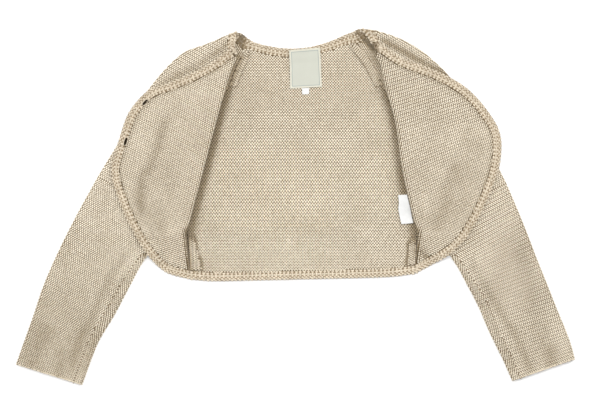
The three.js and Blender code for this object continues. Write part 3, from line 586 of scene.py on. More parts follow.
def back_grid():
    """Middle surface of the back."""
    edges = []
    for side, sign in SIGN.items():
        raglan = curve([row[2] for row in SLEEVES[side]["raglan"]], np.linspace(0, 1, BACK_ROWS["raglan"]))
        beside = curve(SIDE_SEAMS[side], np.linspace(0, 1, BACK_ROWS["side"]))
        edges.append(np.concatenate([raglan, beside[1:]]) - np.array([sign * SEAM_GAP * math.sqrt(2), 0]))
    left, right = edges
    sewn = curve([row[1] for row in NECK if row[0] == "back"], np.linspace(0, 1, 90))[4:-4]
    neck = np.concatenate([left[:1], sewn - np.array([0, TRIM_GAPS["neck"]]), right[:1]])
    hem = np.array([(x, y + TRIM_WIDTH + TRIM_GAPS["hem"]) for x, y in HEM[1:-1]])
    hem = curve(np.concatenate([left[-1:], hem, right[-1:]]), np.linspace(0, 1, 200))
    shares = np.linspace(0, 1, round(BACK_WIDTH / GRID) + 1)[:, None]
    rows = []
    for start, end in zip(left, right):
        down = (left[0, 1] - start[1]) / (left[0, 1] - left[-1, 1])
        row = start + shares * (end - start)
        first = left[0] + shares * (right[0] - left[0])
        last = left[-1] + shares * (right[-1] - left[-1])
        row[:, 1] += (1 - down) ** FOLLOW["neck"] * (height_at(neck, first[:, 0]) - first[:, 1])
        row[:, 1] += down ** FOLLOW["hem"] * (height_at(hem, last[:, 0]) - last[:, 1])
        rows.append(row)
    plan = np.array(rows)
    return lifted(plan, LOW), plan


# ---------------------------------------------------------------- stations of the borders


def front_border(side):
    """Inner and outer edge of a front's border at the height of its underside, and the way up."""
    edge, support = Edge(side), support_outline(side)
    join = TRIM_JOIN / edge.length
    shares = np.linspace(join, 1 - join, round(edge.length / BORDER_STEP) + 1)
    inner, outer = (edge.point(shares, inset) for inset in (TRIM_WIDTH, 0))
    return *(lifted(line, rest_height(support, line)) for line in (inner, outer)), UP, TRIM_CORD


def hem_border():
    """The same of the hem's border, which lies on the floor."""
    outer = curve(HEM, even_shares(HEM, BORDER_STEP))
    return lifted(outer + np.array([0, TRIM_WIDTH]), 0), lifted(outer, 0), UP, TRIM_CORD


def neck_stations():
    """Inner edge, outer edge, way up and thickness of the neck border at each of its rows."""
    found = []
    for index, (form, sewn, free) in enumerate(NECK):
        sewn, free = np.array(sewn, float), np.array(free, float)
        if form in NECK_LEVELS:
            base, up, thick = NECK_LEVELS[form]
            found.append((lifted(sewn, base), lifted(free, base), np.array(UP) * up, thick))
            continue
        centre, radius, inside, turn = NECK_TURNS[form]
        on_left = index < len(NECK) / 2
        outward = left_of(unit(free - sewn)) * (turn if on_left else -turn)
        reach = radius + CLOTH if inside > 0 else radius
        rings = []
        for angle in np.radians(np.linspace(-90, 90, 7)):
            normal = np.array([*(outward * math.cos(angle)), math.sin(angle)])
            place = [lifted(end - outward * reach, centre) + normal * radius for end in (sewn, free)]
            rings.append((*place, normal * inside, CLOTH))
        found += rings[::-1] if on_left else rings
    return found


def neck_border():
    """The same of the neck's border, round its turns."""
    inner, outer, up, thick = (np.array(part) for part in zip(*neck_stations()))
    edges = np.stack([inner, outer], axis=1)
    shares = even_shares(edges.mean(axis=1), BORDER_STEP)
    line = curve(edges, shares)
    marks = np.linspace(0, 1, len(thick))
    return line[:, 0], line[:, 1], unit(at_marks(shares, marks, up)), np.interp(shares, marks, thick)


# ---------------------------------------------------------------- creases and shading of the cloth

# Soft troughs (depth above 0) and ridges (below 0): path, half width, depth, and how much painted shade lies
# along it (below 0: a painted highlight); some are only painted shade, with no depth.
CREASES = {
    "front_left": [
        (((-216, 172), (-232, 134), (-241, 102), (-254, 67), (-267, 52), (-271, 20), (-271, -30)),
         8, 0.8, 0.34),
        (((-224, 90), (-220, 50), (-215, 10)), 16, 0.4, 0.12),
        (((-238, 14), (-234, -30), (-222, -75)), 6, 0.5, 0.1),
        (((-250, 20), (-248, -20), (-240, -50)), 8, -0.8, 0),
        (((-190, 190), (-205, 120), (-215, 90)), 12, -0.8, 0),
        (((-285, 40), (-262, -10), (-225, -50)), 34, 0, 0.16),
    ],
    "front_right": [
        (((281, 92), (276, 60), (264, 20), (253, -15), (237, -58)), 13, 0.7, 0.18),
        (((253, 66), (244, 30), (232, -10)), 9, -0.9, 0),
        (((214, 216), (222, 150), (232, 96)), 13, -0.8, 0),
        (((322, 130), (312, 60), (285, -10), (262, -60)), 30, 0, 0.15),
        (((211, -48), (215, -64), (220, -79), (238, -94)), 4, 0.3, 0.8),
    ],
    "sleeve_left": [
        (((-277, -52), (-307, -97), (-325, -129), (-342, -164), (-354, -192), (-370, -220), (-384, -255),
          (-398, -310)), 8, 0.9, 0.2),
        (((-272, -68), (-309, -129), (-331, -178), (-351, -220)), 5, -0.9, -0.12),
        (((-284, -88), (-321, -164), (-345, -220), (-378, -300)), 4, 0.3, 0.22),
        (((-408, -240), (-419, -310)), 10, 0.5, 0.2),
        (((-430, -200), (-468, -290)), 20, 0.4, 0.22),
        (((-264, -80), (-256, -93)), 5, 0, 0.9),
        (((-252, -86), (-272, -106), (-296, -142)), 6, 0, 0.4),
        (((-254, 200), (-211, 226), (-172, 246), (-132, 273), (-98, 296)), 6, 0.3, 0.36),
    ],
    "sleeve_right": [
        (((292, -72), (319, -120), (341, -155), (367, -199), (390, -237), (404, -269), (420, -310)),
         7, 1.0, 0.24),
        (((288, -80), (325, -146), (353, -199), (383, -258)), 5, -0.9, -0.02),
        (((280, -86), (314, -150), (341, -199), (367, -251), (388, -305)), 4.5, 0.3, 0.22),
        (((384, -40), (407, -129), (421, -190), (438, -242), (454, -310)), 14, 0.7, 0.1),
        (((444, -235), (454, -300)), 12, 0.3, 0.2),
        (((271, -81), (262, -95)), 5, 0, 0.9),
        (((261, -86), (281, -106), (302, -142)), 6, 0, 0.4),
        (((136, 302), (153, 291), (192, 269), (236, 245), (284, 219)), 6, 0.4, 0.62),
    ],
}
# paths of painted shade in the hollows
HOLLOWS = (((-99, 294), (-94, 284)), ((113, 299), (124, 289), (136, 277)))  # at the neck corners
# darkness of the painted shadow beside each roll
ROLL_DEPTHS = {"left": (1.25, 1.3, 1.1, 0.9), "right": (0.85, 0.66, 0.7, 0.25)}  # darkness from neck to hem
SLEEVE_LOOKS = {  # how much darker its cuff is, its own darkness, fullness of its stitches down the arm
    "left": (0.22, 0.0, (1.12, 1.2, 1.12, 1.05)),
    "right": (0.16, -0.03, (1.12, 1.0, 1.0, 1.1)),
}
FRONT_LOOKS = {  # its own darkness, how far its rows pair up, fullness of its stitches from the hem
    "left": (-0.025, 0.8, (0.73, 0.76, 0.82, 0.88)),
    "right": (0.08, 0.3, (0.87, 0.88, 0.93, 0.96)),
}
COVER_REACH = 14  # how far under a turned front the stitches below it end
COVER_LIMIT = 0.6  # share of cover from which a stitch is left out


def line_distance(path, points):
    """Distance of points from a smooth line, and how far along it they lie."""
    line = curve(np.array(path, float), np.linspace(0, 1, 8 * len(path)))
    run = lengths(line)
    best, place = np.inf, 0.0
    for i in range(len(line) - 1):
        edge = line[i + 1] - line[i]
        share = np.clip(((points - line[i]) @ edge) / max(edge @ edge, 1e-9), 0, 1)
        gap = np.linalg.norm(points - line[i] - share[..., None] * edge, axis=-1)
        along = (run[i] + share * (run[i + 1] - run[i])) / run[-1]
        place = np.where(gap < best, along, place)
        best = np.minimum(gap, best)
    return best, place


def creased(points, name):
    """Fall of the cloth at points and the painted shade along its creases, from the creases of a piece."""
    fall, tone = np.zeros(points.shape[:-1]), np.zeros(points.shape[:-1])
    for path, half, depth, dark in CREASES[name]:
        gap, along = line_distance(path, points)
        shape = bell(gap, half) * ease((0.5 - np.abs(along - 0.5)) / 0.16)
        fall += shape * depth
        tone += shape * dark
    return fall, tone


def roll_shadow(plan, side, reach):
    """Painted shadow close to the raised fold edge of a front, deepest at the neck corner."""
    gap, along = line_distance([fold for _, fold, _, _ in TURNS[side]], plan)
    return bell(np.maximum(gap - 2, 0), reach) * np.interp(along, (0.1, 0.5, 0.75, 1), ROLL_DEPTHS[side])


def seam_shade(points):
    """Painted shade down in the side seams, where the fronts stand up from the back."""
    lines = ((0.75, SIDE_SEAMS["left"][1:]), (0.45, SIDE_SEAMS["right"][1:4]))
    return sum(deep * bell(line_distance(line, points)[0], 4.5) for deep, line in lines)


def hollow_shade(points):
    """Painted shade in the hollows at the two neck corners, under the turned fronts."""
    return sum(2.3 * bell(line_distance(path, points)[0], 4.2) for path in HOLLOWS)


def covered(front_plan, points):
    """1 where points lie well under a turned front, where no stitch can be seen."""
    outline = np.concatenate([front_plan[:, TURN_STEPS], front_plan[::-1, -1]])
    return (distance_outside(outline, points) < -COVER_REACH).astype(float)


def unevenness(points, size, seed):
    """Slow waves about a size long, from -1 to 1, at points of a plane."""
    chance = np.random.default_rng(seed)
    total, waves = np.zeros(points.shape[:-1]), 9
    for _ in range(waves):
        angle, phase = chance.uniform(0, math.tau, 2)
        pitch = size * chance.uniform(0.7, 1.6)
        total += np.sin((points @ np.array([math.cos(angle), math.sin(angle)])) * math.tau / pitch + phase)
    return total / (waves / 2)


def stretched(values, knots, pitches):
    """Pattern distance of places, from the pitch of the ridges that lie at some of them."""
    fine = np.linspace(values.min(), values.max(), 400)
    steps = np.diff(fine) * RIDGE / np.interp((fine[1:] + fine[:-1]) / 2, knots, pitches)
    return np.interp(values, fine, np.concatenate([[0], np.cumsum(steps)]))


# ---------------------------------------------------------------- node trees


class Nodes:
    """Short calls that build a tree of nodes."""

    def __init__(self, tree):
        self.tree = tree

    def add(self, kind, values=(), out=0, **settings):
        """A node with its settings and inputs; the value is one of its outputs."""
        node = self.tree.nodes.new(kind)
        for key, value in settings.items():
            setattr(node, key, value)
        for key, value in dict(values).items():
            if isinstance(value, bpy.types.NodeSocket):
                self.tree.links.new(value, node.inputs[key])
            else:
                node.inputs[key].default_value = value
        return node.outputs[out]

    def math(self, operation, a, b=0.0, clamp=False):
        return self.add("ShaderNodeMath", {0: a, 1: b}, operation=operation, use_clamp=clamp)


class GeometryTree(Nodes):
    """A Geometry Nodes tree with named inputs, whose kinds follow from their defaults."""

    KINDS = {int: "Int", float: "Float", tuple: "Vector", str: "Material"}

    def __init__(self, name, inputs):
        super().__init__(bpy.data.node_groups.new(name, "GeometryNodeTree"))
        face = self.tree.interface
        for way in ("OUTPUT", "INPUT"):
            face.new_socket("Geometry", in_out=way, socket_type="NodeSocketGeometry")
        for label, value in inputs.items():
            kind = f"NodeSocket{self.KINDS[type(value)]}"
            socket = face.new_socket(label, in_out="INPUT", socket_type=kind)
            if not isinstance(value, str):
                socket.default_value = value
        self.given = self.tree.nodes.new("NodeGroupInput").outputs
        self.last = self.tree.nodes.new("NodeGroupOutput").inputs

    def vector(self, operation, a, b):
        """A sum or a product of vectors."""
        second = 3 if operation == "SCALE" else 1
        return self.add("ShaderNodeVectorMath", {0: a, second: b}, operation=operation)

    def part(self, vector, axis):
        """One of a vector's three numbers."""
        return self.add("ShaderNodeSeparateXYZ", {0: vector}, out=axis)

    def joined(self, x=0.0, y=0.0, z=0.0):
        """A vector of three numbers."""
        return self.add("ShaderNodeCombineXYZ", {0: x, 1: y, 2: z})

    def chance(self, low, high, seed, shift):
        """A random number for each element; the shift keeps it apart from the tree's other draws."""
        values = {2: low, 3: high, 8: self.math("ADD", seed, float(shift))}
        return self.add("FunctionNodeRandomValue", values, out=1, data_type="FLOAT")

    def attribute(self, name, kind="FLOAT_VECTOR"):
        """A value that the points carry under a name."""
        return self.add("GeometryNodeInputNamedAttribute", {0: name}, data_type=kind)

    def store(self, geometry, name, value, kind="FLOAT"):
        """The geometry, whose points then carry a value under a name."""
        values = {0: geometry, 2: name, 3: value}
        return self.add("GeometryNodeStoreNamedAttribute", values, data_type=kind, domain="POINT")

    def turned(self, up, along, angle):
        """The turn of a bump that stands up and lies along a way, turned by an angle in the cloth."""
        values = {0: up, 1: along}
        axes = self.add("FunctionNodeAxesToRotation", values, primary_axis="Z", secondary_axis="X")
        swing = self.add("FunctionNodeEulerToRotation", {0: self.joined(z=angle)})
        return self.add("FunctionNodeRotateRotation", {0: axes, 1: swing}, rotation_space="LOCAL")

    def bump(self, size, arch, segments, rings):
        """A closed bump of yarn along X, its ends drawn back by the arch."""
        ball = self.add("GeometryNodeMeshUVSphere", {0: segments, 1: rings, 2: 1.0})
        turned = self.add("GeometryNodeTransform", {0: ball, 2: (0, math.pi / 2, 0)})
        sized = self.add("GeometryNodeTransform", {0: turned, 3: self.vector("SCALE", size, 0.5)})
        x = self.part(self.add("GeometryNodeInputPosition"), 0)
        share = self.math("DIVIDE", x, self.math("MULTIPLY", self.part(size, 0), 0.5))
        back = self.joined(y=self.math("MULTIPLY", self.math("MULTIPLY", share, share), arch))
        return self.add("GeometryNodeSetPosition", {0: sized, 3: back})

    def done(self, geometry, material):
        """The tree, ending in real and smooth bumps of one material."""
        real = self.add("GeometryNodeRealizeInstances", {0: geometry})
        shaded = self.add("GeometryNodeSetShadeSmooth", {0: real, 2: True})
        self.tree.links.new(self.add("GeometryNodeSetMaterial", {0: shaded, 2: material}), self.last[0])
        return self.tree


def knit_tree():
    """Bumps of garter stitch in a brick pattern, carried from the flat pattern to the lying cloth."""
    t = GeometryTree("garter stitch", {
        "Stitches": 90, "Rows": 120, "Stitch Width": 0.0048, "Row Height": 0.003, "Pairing": 0.0004,
        "Centre": (0.0, 0.0, 0.0), "Bump Size": (0.0044, 0.0026, 0.0016), "Arch": 0.0006,
        "Stand": 0.0008, "Segments": 4, "Rings": 3, "Unevenness": 0.0001, "Seed": 1, "Material": "",
    })
    g = t.given
    wide = t.math("MULTIPLY", t.math("SUBTRACT", g["Stitches"], 1.0), g["Stitch Width"])
    high = t.math("MULTIPLY", t.math("SUBTRACT", g["Rows"], 1.0), g["Row Height"])
    lattice = t.add("GeometryNodeMeshGrid", {0: wide, 1: high, 2: g["Stitches"], 3: g["Rows"]})
    place = t.add("GeometryNodeInputPosition")
    from_edge = t.math("ADD", t.part(place, 1), t.math("MULTIPLY", high, 0.5))
    odd = t.math("MODULO", t.math("ROUND", t.math("DIVIDE", from_edge, g["Row Height"])), 2.0)
    side = t.math("SUBTRACT", odd, 0.5)
    least = t.math("MULTIPLY", g["Unevenness"], -1.0)
    shift = t.joined(*(
        t.math("ADD", t.math("MULTIPLY", side, t.math("MULTIPLY", g[name], share)),
               t.chance(least, g["Unevenness"], g["Seed"], number))
        for number, name, share in ((1, "Stitch Width", 0.5), (2, "Pairing", -1.0))))
    flat = t.vector("ADD", t.vector("ADD", place, shift), g["Centre"])
    lattice = t.store(lattice, "Place", flat, "FLOAT_VECTOR")
    lattice = t.store(lattice, "Odd", odd)
    points = t.add("GeometryNodeMeshToPoints", {0: lattice})

    def carried(value, kind="FLOAT_VECTOR", out=0):
        values = {0: g["Geometry"], 1: value, 2: t.attribute("Pattern"), 3: t.attribute("Place")}
        return t.add("GeometryNodeSampleUVSurface", values, out=out, data_type=kind)

    valid = carried(t.add("GeometryNodeInputPosition"), out=1)
    gone = t.add("FunctionNodeBooleanMath", {0: valid}, operation="NOT")
    points = t.add("GeometryNodeDeleteGeometry", {0: points, 1: gone})
    # the stitches take the painted shade and tone of the cloth under them
    for name in ("Covered", "Fullness", "ShadeAndTone"):
        points = t.store(points, name, carried(t.attribute(name, "FLOAT"), "FLOAT"))
    hidden = t.math("GREATER_THAN", t.attribute("Covered", "FLOAT"), COVER_LIMIT)
    points = t.add("GeometryNodeDeleteGeometry", {0: points, 1: hidden})
    up = carried(t.attribute("Up"))
    points = t.store(points, "Shade", t.chance(0.0, 1.0, g["Seed"], 3))
    place = carried(t.add("GeometryNodeInputPosition"))
    raised = t.vector("ADD", place, t.vector("SCALE", up, g["Stand"]))
    points = t.add("GeometryNodeSetPosition", {0: points, 2: raised})
    sign = t.math("SUBTRACT", 1.0, t.math("MULTIPLY", t.attribute("Odd", "FLOAT"), 2.0))
    along = t.vector("SCALE", carried(t.attribute("Row")), sign)
    turned = t.turned(up, along, t.chance(-0.1, 0.1, g["Seed"], 4))
    bump = t.bump(g["Bump Size"], g["Arch"], g["Segments"], g["Rings"])
    scale = t.chance(0.95, 1.05, g["Seed"], 5)
    scale = t.joined(scale, t.math("MULTIPLY", scale, t.attribute("Fullness", "FLOAT")), scale)
    bumps = t.add("GeometryNodeInstanceOnPoints", {0: points, 2: bump, 5: turned, 6: scale})
    return t.done(bumps, g["Material"])


ROW_INPUTS = {  # a row's place and the form of its bumps; a "Closed" row leaves openings free
    "Across": 0.0, "Height": 0.0, "Shift": 0.0, "Size": (0.005, 0.003, 0.003), "Turn": 0.0, "Arch": 0.0,
    "Segments": 6, "Rings": 4, "Closed": 0.0,
}


def chain_tree(name, rows):
    """Rows of yarn bumps along a path; each row has its own place across it, size and turn."""
    inputs = {"Seed": 1, "Unevenness": 0.1, "Material": ""}
    for row in rows:
        inputs |= {f"{row} {key}": value for key, value in ROW_INPUTS.items()}
    t = GeometryTree(name, inputs)
    g = t.given
    line = t.add("GeometryNodeMeshToCurve", {0: g["Geometry"]})
    made = t.tree.nodes.new("GeometryNodeJoinGeometry")
    for number, row in enumerate(rows):
        own = {key: g[f"{row} {key}"] for key in ROW_INPUTS}
        across, up = t.attribute("Across"), t.attribute("Up")
        tangent = t.add("GeometryNodeInputTangent")
        move = t.vector("SCALE", across, own["Across"])
        move = t.vector("ADD", move, t.vector("SCALE", up, own["Height"]))
        jitter = t.math("MULTIPLY", t.chance(-0.0022, 0.0022, g["Seed"], 71 + number), g["Unevenness"])
        move = t.vector("ADD", move, t.vector("SCALE", tangent, t.math("ADD", own["Shift"], jitter)))
        wobble = t.math("MULTIPLY", t.chance(-1.0, 1.0, g["Seed"], 11 + number), g["Unevenness"])
        turned = t.turned(up, tangent, t.math("ADD", own["Turn"], wobble))
        placed = t.store(line, "Turned", turned, "QUATERNION")
        placed = t.store(placed, "Shade", t.chance(0.0, 1.0, g["Seed"], 31 + number))
        placed = t.add("GeometryNodeSetPosition", {0: placed, 3: move})
        shape = t.bump(own["Size"], own["Arch"], own["Segments"], own["Rings"])
        most = t.math("SUBTRACT", 1.01, own["Closed"])
        shown = t.math("LESS_THAN", t.attribute("Open", "FLOAT"), most)
        size = t.chance(0.93, 1.07, g["Seed"], 51 + number)
        values = {0: placed, 1: shown, 2: shape, 5: t.attribute("Turned", "QUATERNION"), 6: size}
        t.tree.links.new(t.add("GeometryNodeInstanceOnPoints", values), made.inputs[0])
    return t.done(made.outputs[0], g["Material"])


def grown(name, guide, tree, values):
    """The plain mesh that a tree makes on a guide; the guide is removed."""
    modifier = guide.modifiers.new(tree.name, "NODES")
    modifier.node_group = tree
    left = dict(values)
    for item in tree.interface.items_tree:
        if item.in_out == "INPUT" and item.name in left:
            modifier[item.identifier] = left.pop(item.name)
    if left:
        raise ValueError(f"{name}: the tree has no input named {', '.join(left)}")
    graph = bpy.context.evaluated_depsgraph_get()
    mesh = bpy.data.meshes.new_from_object(guide.evaluated_get(graph), depsgraph=graph)
    old = guide.data
    bpy.data.objects.remove(guide)
    bpy.data.meshes.remove(old)
    if not len(mesh.polygons):
        raise ValueError(f"{name}: nothing was made")
    for extra in ("Place", "Odd", "Covered", "Fullness", "Turned", "Across", "Up", "Open"):
        if extra in mesh.attributes:
            mesh.attributes.remove(mesh.attributes[extra])
    mesh.name = name
    return linked(name, mesh)


def row_direction(grid, pattern):
    """The way of the knitted rows in space, at each point of the cloth."""
    gi, gj = np.gradient(grid, axis=0), np.gradient(grid, axis=1)
    pi, pj = np.gradient(pattern, axis=0), np.gradient(pattern, axis=1)
    turn = pi[..., 0] * pj[..., 1] - pi[..., 1] * pj[..., 0]
    turn = np.where(np.abs(turn) < 1e-6, 1e-6, turn)
    return unit(gi * (pj[..., 1] / turn)[..., None] - gj * (pi[..., 1] / turn)[..., None])


def knit_face(
    name, grid, pattern, tone, up, seed, pairing=1.0, hidden=0.0, fullness=1.0, width=None, fine=True
):
    """The stitches of one face of the cloth; "up" is 1 or -1, the side of the grid that they stand on."""
    settings = bpy.context.scene.cardigan_knit
    width = width or settings.body_width
    guide = new_object(f"{name}_guide", grid, grid_faces(*grid.shape[:2]))
    add_uvs(guide, "Pattern", pattern * MM)
    add_attribute(guide, "Up", grid_normals(grid) * up, "FLOAT_VECTOR")
    add_attribute(guide, "Row", row_direction(grid, pattern), "FLOAT_VECTOR")
    for label, value in (("ShadeAndTone", tone), ("Covered", hidden), ("Fullness", fullness)):
        add_attribute(guide, label, np.broadcast_to(value, grid.shape[:2]))
    low, high = pattern.min(axis=(0, 1)), pattern.max(axis=(0, 1))
    row = settings.ridge_pitch / 2
    pitch = np.array([width, row])
    first = np.floor(low * MM / pitch) - [0, 1]
    first[1] -= first[1] % 2
    last = np.ceil(high * MM / pitch) + [0, 1]
    obj = grown(name, guide, tree_named("garter stitch", knit_tree), {
        "Stitches": int(last[0] - first[0]) + 1,
        "Rows": int(last[1] - first[1]) + 1,
        "Stitch Width": width,
        "Row Height": row,
        "Pairing": settings.pairing * pairing,
        "Centre": (*((first + last) / 2 * pitch), 0.0),
        "Bump Size": (
            width * BUMP_SHARES[0] + BUMP_EXTRA * MM, row * BUMP_SHARES[1],
            settings.bump_height * (1.0 if fine else 0.8)),
        "Arch": row * BUMP_SHARES[2],
        "Stand": settings.stand * (1.0 if fine else 0.75),
        "Segments": 4,
        "Rings": 3 if fine else 2,
        "Seed": seed + settings.seed,
        "Material": yarn(),
    })
    return finish_piece(obj, "knit")


def tree_named(name, make):
    """The tree of a name, made where there is none yet."""
    return bpy.data.node_groups.get(name) or make()


def stations_along(pitch, measured, *values):
    """Values resampled a pitch apart, measured on the longest of some lines in each stretch."""
    steps = np.max([np.linalg.norm(np.diff(line, axis=0), axis=-1) for line in measured], axis=0)
    run = np.concatenate([[0], np.cumsum(steps)])
    marks = np.linspace(0, run[-1], max(2, round(run[-1] / pitch) + 1))
    return [at_marks(marks, run, value) for value in values]


def path_guide(name, middle, across, up, opened, tone):
    """A line of points that carries the way across and the way up of a border or a seam."""
    guide = new_object(f"{name}_guide", middle, [])
    mesh = guide.data
    mesh.edges.add(len(middle) - 1)
    pairs = np.stack([np.arange(len(middle) - 1), np.arange(1, len(middle))], axis=-1)
    mesh.edges.foreach_set("vertices", pairs.ravel())
    add_attribute(guide, "Across", across * MM, "FLOAT_VECTOR")
    add_attribute(guide, "Up", up, "FLOAT_VECTOR")
    add_attribute(guide, "Open", opened)
    add_attribute(guide, "ShadeAndTone", tone)
    return guide


def row_values(row, settings, pitch=0.0, fullness=1.0):
    """Inputs of a row of bumps, in metres, its bumps flatter where the border is thin."""
    values = {}
    for key, value in settings.items():
        if key == "Shift":
            value *= pitch
        elif key in ("Arch", "Height"):
            value *= MM
        elif key == "Size":
            value = (value[0] * MM, value[1] * MM, value[2] * MM * (0.35 + 0.65 * fullness))
        values[f"{row} {key}"] = value
    return values


def chain(name, kind, line, across, up, material, slot, tone=0.0):
    """One row of bumps of yarn or thread along a line of points."""
    settings = dict(YARN_LINES[kind])
    pitch, unevenly = settings.pop("Pitch"), settings.pop("Unevenness", 0.1)
    across, up = (np.broadcast_to(way, line.shape) for way in (across, up))
    tone = np.broadcast_to(tone, len(line))
    middle, across, up, tone = stations_along(pitch, [line], line, across, up, tone)
    guide = path_guide(name, middle, across, up, tone * 0, tone)
    tree = tree_named("chain of stitches", lambda: chain_tree("chain of stitches", ("Chain",)))
    values = {"Material": material, "Unevenness": unevenly, **row_values("Chain", settings)}
    return finish_piece(grown(name, guide, tree, values), slot)


# ---------------------------------------------------------------- materials


def linear(colour):
    """sRGB shares to linear light, with alpha."""
    return (*[c / 12.92 if c <= 0.04045 else ((c + 0.055) / 1.055) ** 2.4 for c in colour], 1)


class Finish(Nodes):
    """A Principled material, with the constants of its shader."""

    def __init__(self, name, **constants):
        self.material = bpy.data.materials.new(name)
        self.material.use_nodes = True
        super().__init__(self.material.node_tree)
        self.shader = self.tree.nodes["Principled BSDF"]
        for key, value in constants.items():
            self.shader.inputs[key.replace("_", " ")].default_value = value

    def noise(self, scale, detail, stretch=None):
        """Noise in space, finer the larger its scale."""
        where = self.add("ShaderNodeTexCoord", out="Object")
        if stretch:
            where = self.add("ShaderNodeMapping", {"Vector": where, "Scale": stretch})
        return self.add("ShaderNodeTexNoise", {"Vector": where, "Scale": scale, "Detail": detail})

    def attribute(self, name):
        """A number that the piece carries under a name."""
        return self.add("ShaderNodeAttribute", out="Fac", attribute_name=name)

    def ranged(self, value, low, high, to_low=0.0, to_high=1.0):
        """A value mapped from one range to another, and kept inside it."""
        return self.add("ShaderNodeMapRange", {0: value, 1: low, 2: high, 3: to_low, 4: to_high})

    def mixed(self, share, a, b):
        """A colour between two others."""
        return self.add("ShaderNodeMix", {0: share, 6: a, 7: b}, out=2, data_type="RGBA")

    def waves(self, scale, distortion, direction):
        """Threads across a weave, by the piece's own map."""
        where = self.add("ShaderNodeUVMap", uv_map="Weave")
        values = {"Vector": where, "Scale": scale, "Distortion": distortion}
        threads = self.add("ShaderNodeTexWave", values, bands_direction=direction)
        return self.add("ShaderNodeSeparateColor", {0: threads})

    def made(self, colour, roughness, bump=()):
        """The material with its colour and roughness, and its bumps by height, strength and distance."""
        ends = {"Base Color": colour, "Roughness": roughness}
        if bump:
            ends["Normal"] = self.add("ShaderNodeBump", dict(zip(("Height", "Strength", "Distance"), bump)))
        for name, value in ends.items():
            self.tree.links.new(value, self.shader.inputs[name])
        return self.material


def yarn_finish(name, light, dark, shade=0.16):
    """Heathered matt yarn: each stitch has its own shade, with flecks, and painted shade where the cloth
    dips, in hollows and beside folds.
    """
    f = Finish(name, Sheen_Weight=0.15, Sheen_Roughness=0.6, Specular_IOR_Level=0.15)
    share = f.math("MULTIPLY", f.attribute("Shade"), shade)
    share = f.math("ADD", share, f.math("MULTIPLY", f.ranged(f.noise(430, 4), 0.36, 0.66), 0.26))
    share = f.math("ADD", share, f.math("MULTIPLY", f.ranged(f.noise(14, 3), 0.3, 0.7), 0.14))
    # painted shade and slow tone of the piece, added to the stitch's own shade
    share = f.math("ADD", share, f.attribute("ShadeAndTone"), clamp=True)
    # painted deep shadow: a much darker copy of the dark yarn, reached where the painted shade passes 0.8
    deep = (*(0.42 * c for c in linear(dark)[:3]), 1)
    colour = f.mixed(share, linear(light), linear(dark))
    colour = f.mixed(f.ranged(f.attribute("ShadeAndTone"), 0.8, 2.0), colour, deep)
    return f.made(colour, f.ranged(f.noise(700, 2), 0.3, 0.7, 0.82, 0.98), (f.noise(1500, 2), 0.35, 0.0006))


def ground_finish(name, light, dark):
    """The yarn deep between the bumps, painted darker than the bumps for the shade that falls between them,
    and darker still with the painted shade of the piece.
    """
    f = Finish(name, Specular_IOR_Level=0.1)
    share = f.math("ADD", f.ranged(f.noise(520, 3), 0.3, 0.7), f.attribute("ShadeAndTone"), clamp=True)
    colour = f.mixed(share, linear(light), linear(dark))
    return f.made(colour, f.ranged(f.noise(600, 2), 0.3, 0.7, 0.86, 0.99), (f.noise(900, 2), 0.5, 0.0008))


def ribbon_finish(name, field, border, line):
    """Woven ribbon with a border and a thin frame line, placed by the distance from its edge."""
    f = Finish(name, Specular_IOR_Level=0.3, Sheen_Weight=0.1)
    edge = f.attribute("Edge")
    threads = f.math("MULTIPLY", f.waves(520.0, 0.4, "X"), f.waves(620.0, 0.4, "Y"))
    ring = f.math("MULTIPLY", f.ranged(edge, 0.0031, 0.0035), f.ranged(edge, 0.0047, 0.0043))
    colour = f.mixed(f.ranged(edge, 0.0034, 0.0038), linear(border), linear(field))
    colour = f.mixed(f.math("MULTIPLY", ring, 0.8), colour, linear(line))
    cloudy = f.math("ADD", f.ranged(f.noise(60, 3), 0.3, 0.7, 0.0, 0.1), f.math("MULTIPLY", threads, 0.12))
    colour = f.mixed(cloudy, colour, linear((0.66, 0.65, 0.60)))
    return f.made(colour, f.ranged(threads, 0.0, 1.0, 0.72, 0.55), (threads, 0.4, 0.0003))


def satin_finish(name, light, dark):
    """Smooth satin tape, its threads all one way."""
    f = Finish(name, Specular_IOR_Level=0.45, Sheen_Weight=0.2)
    threads = f.waves(700.0, 0.6, "X")
    share = f.math("MULTIPLY", f.ranged(f.noise(90, 3), 0.3, 0.7), 0.5)
    colour = f.mixed(share, linear(light), linear(dark))
    return f.made(colour, f.ranged(threads, 0.0, 1.0, 0.38, 0.55), (threads, 0.25, 0.0002))


def horn_finish(name, light, dark):
    """Polished horn with swirls and a fine grain."""
    f = Finish(name, Specular_IOR_Level=0.5, Coat_Weight=0.15, Coat_Roughness=0.3)
    swirl, grain = f.noise(160, 5, (1, 2.6, 1)), f.noise(900, 3, (1, 5, 1))
    share = f.math("MULTIPLY", f.ranged(swirl, 0.35, 0.65), 0.7)
    share = f.math("ADD", share, f.math("MULTIPLY", grain, 0.25), clamp=True)
    colour = f.mixed(share, linear(light), linear(dark))
    return f.made(colour, f.ranged(swirl, 0.3, 0.7, 0.32, 0.48), (grain, 0.08, 0.0003))


def floor_finish(name, colour):
    """The pale, matt and almost even floor."""
    f = Finish(name, Specular_IOR_Level=0.0)
    cloudy = f.ranged(f.noise(3, 2), 0.3, 0.7, 0.0, 0.04)
    colour = f.mixed(cloudy, linear(colour), linear((0.9, 0.9, 0.9)))
    return f.made(colour, f.ranged(f.noise(40, 2), 0.3, 0.7, 0.9, 1.0))


def finish_named(name, make, *values):
    """The material of a name, made where there is none yet."""
    return bpy.data.materials.get(name) or make(name, *values)


def yarn():
    """The cloth's stitches."""
    knit = bpy.context.scene.cardigan_knit
    return finish_named("heathered_yarn", yarn_finish, knit.light, knit.dark)


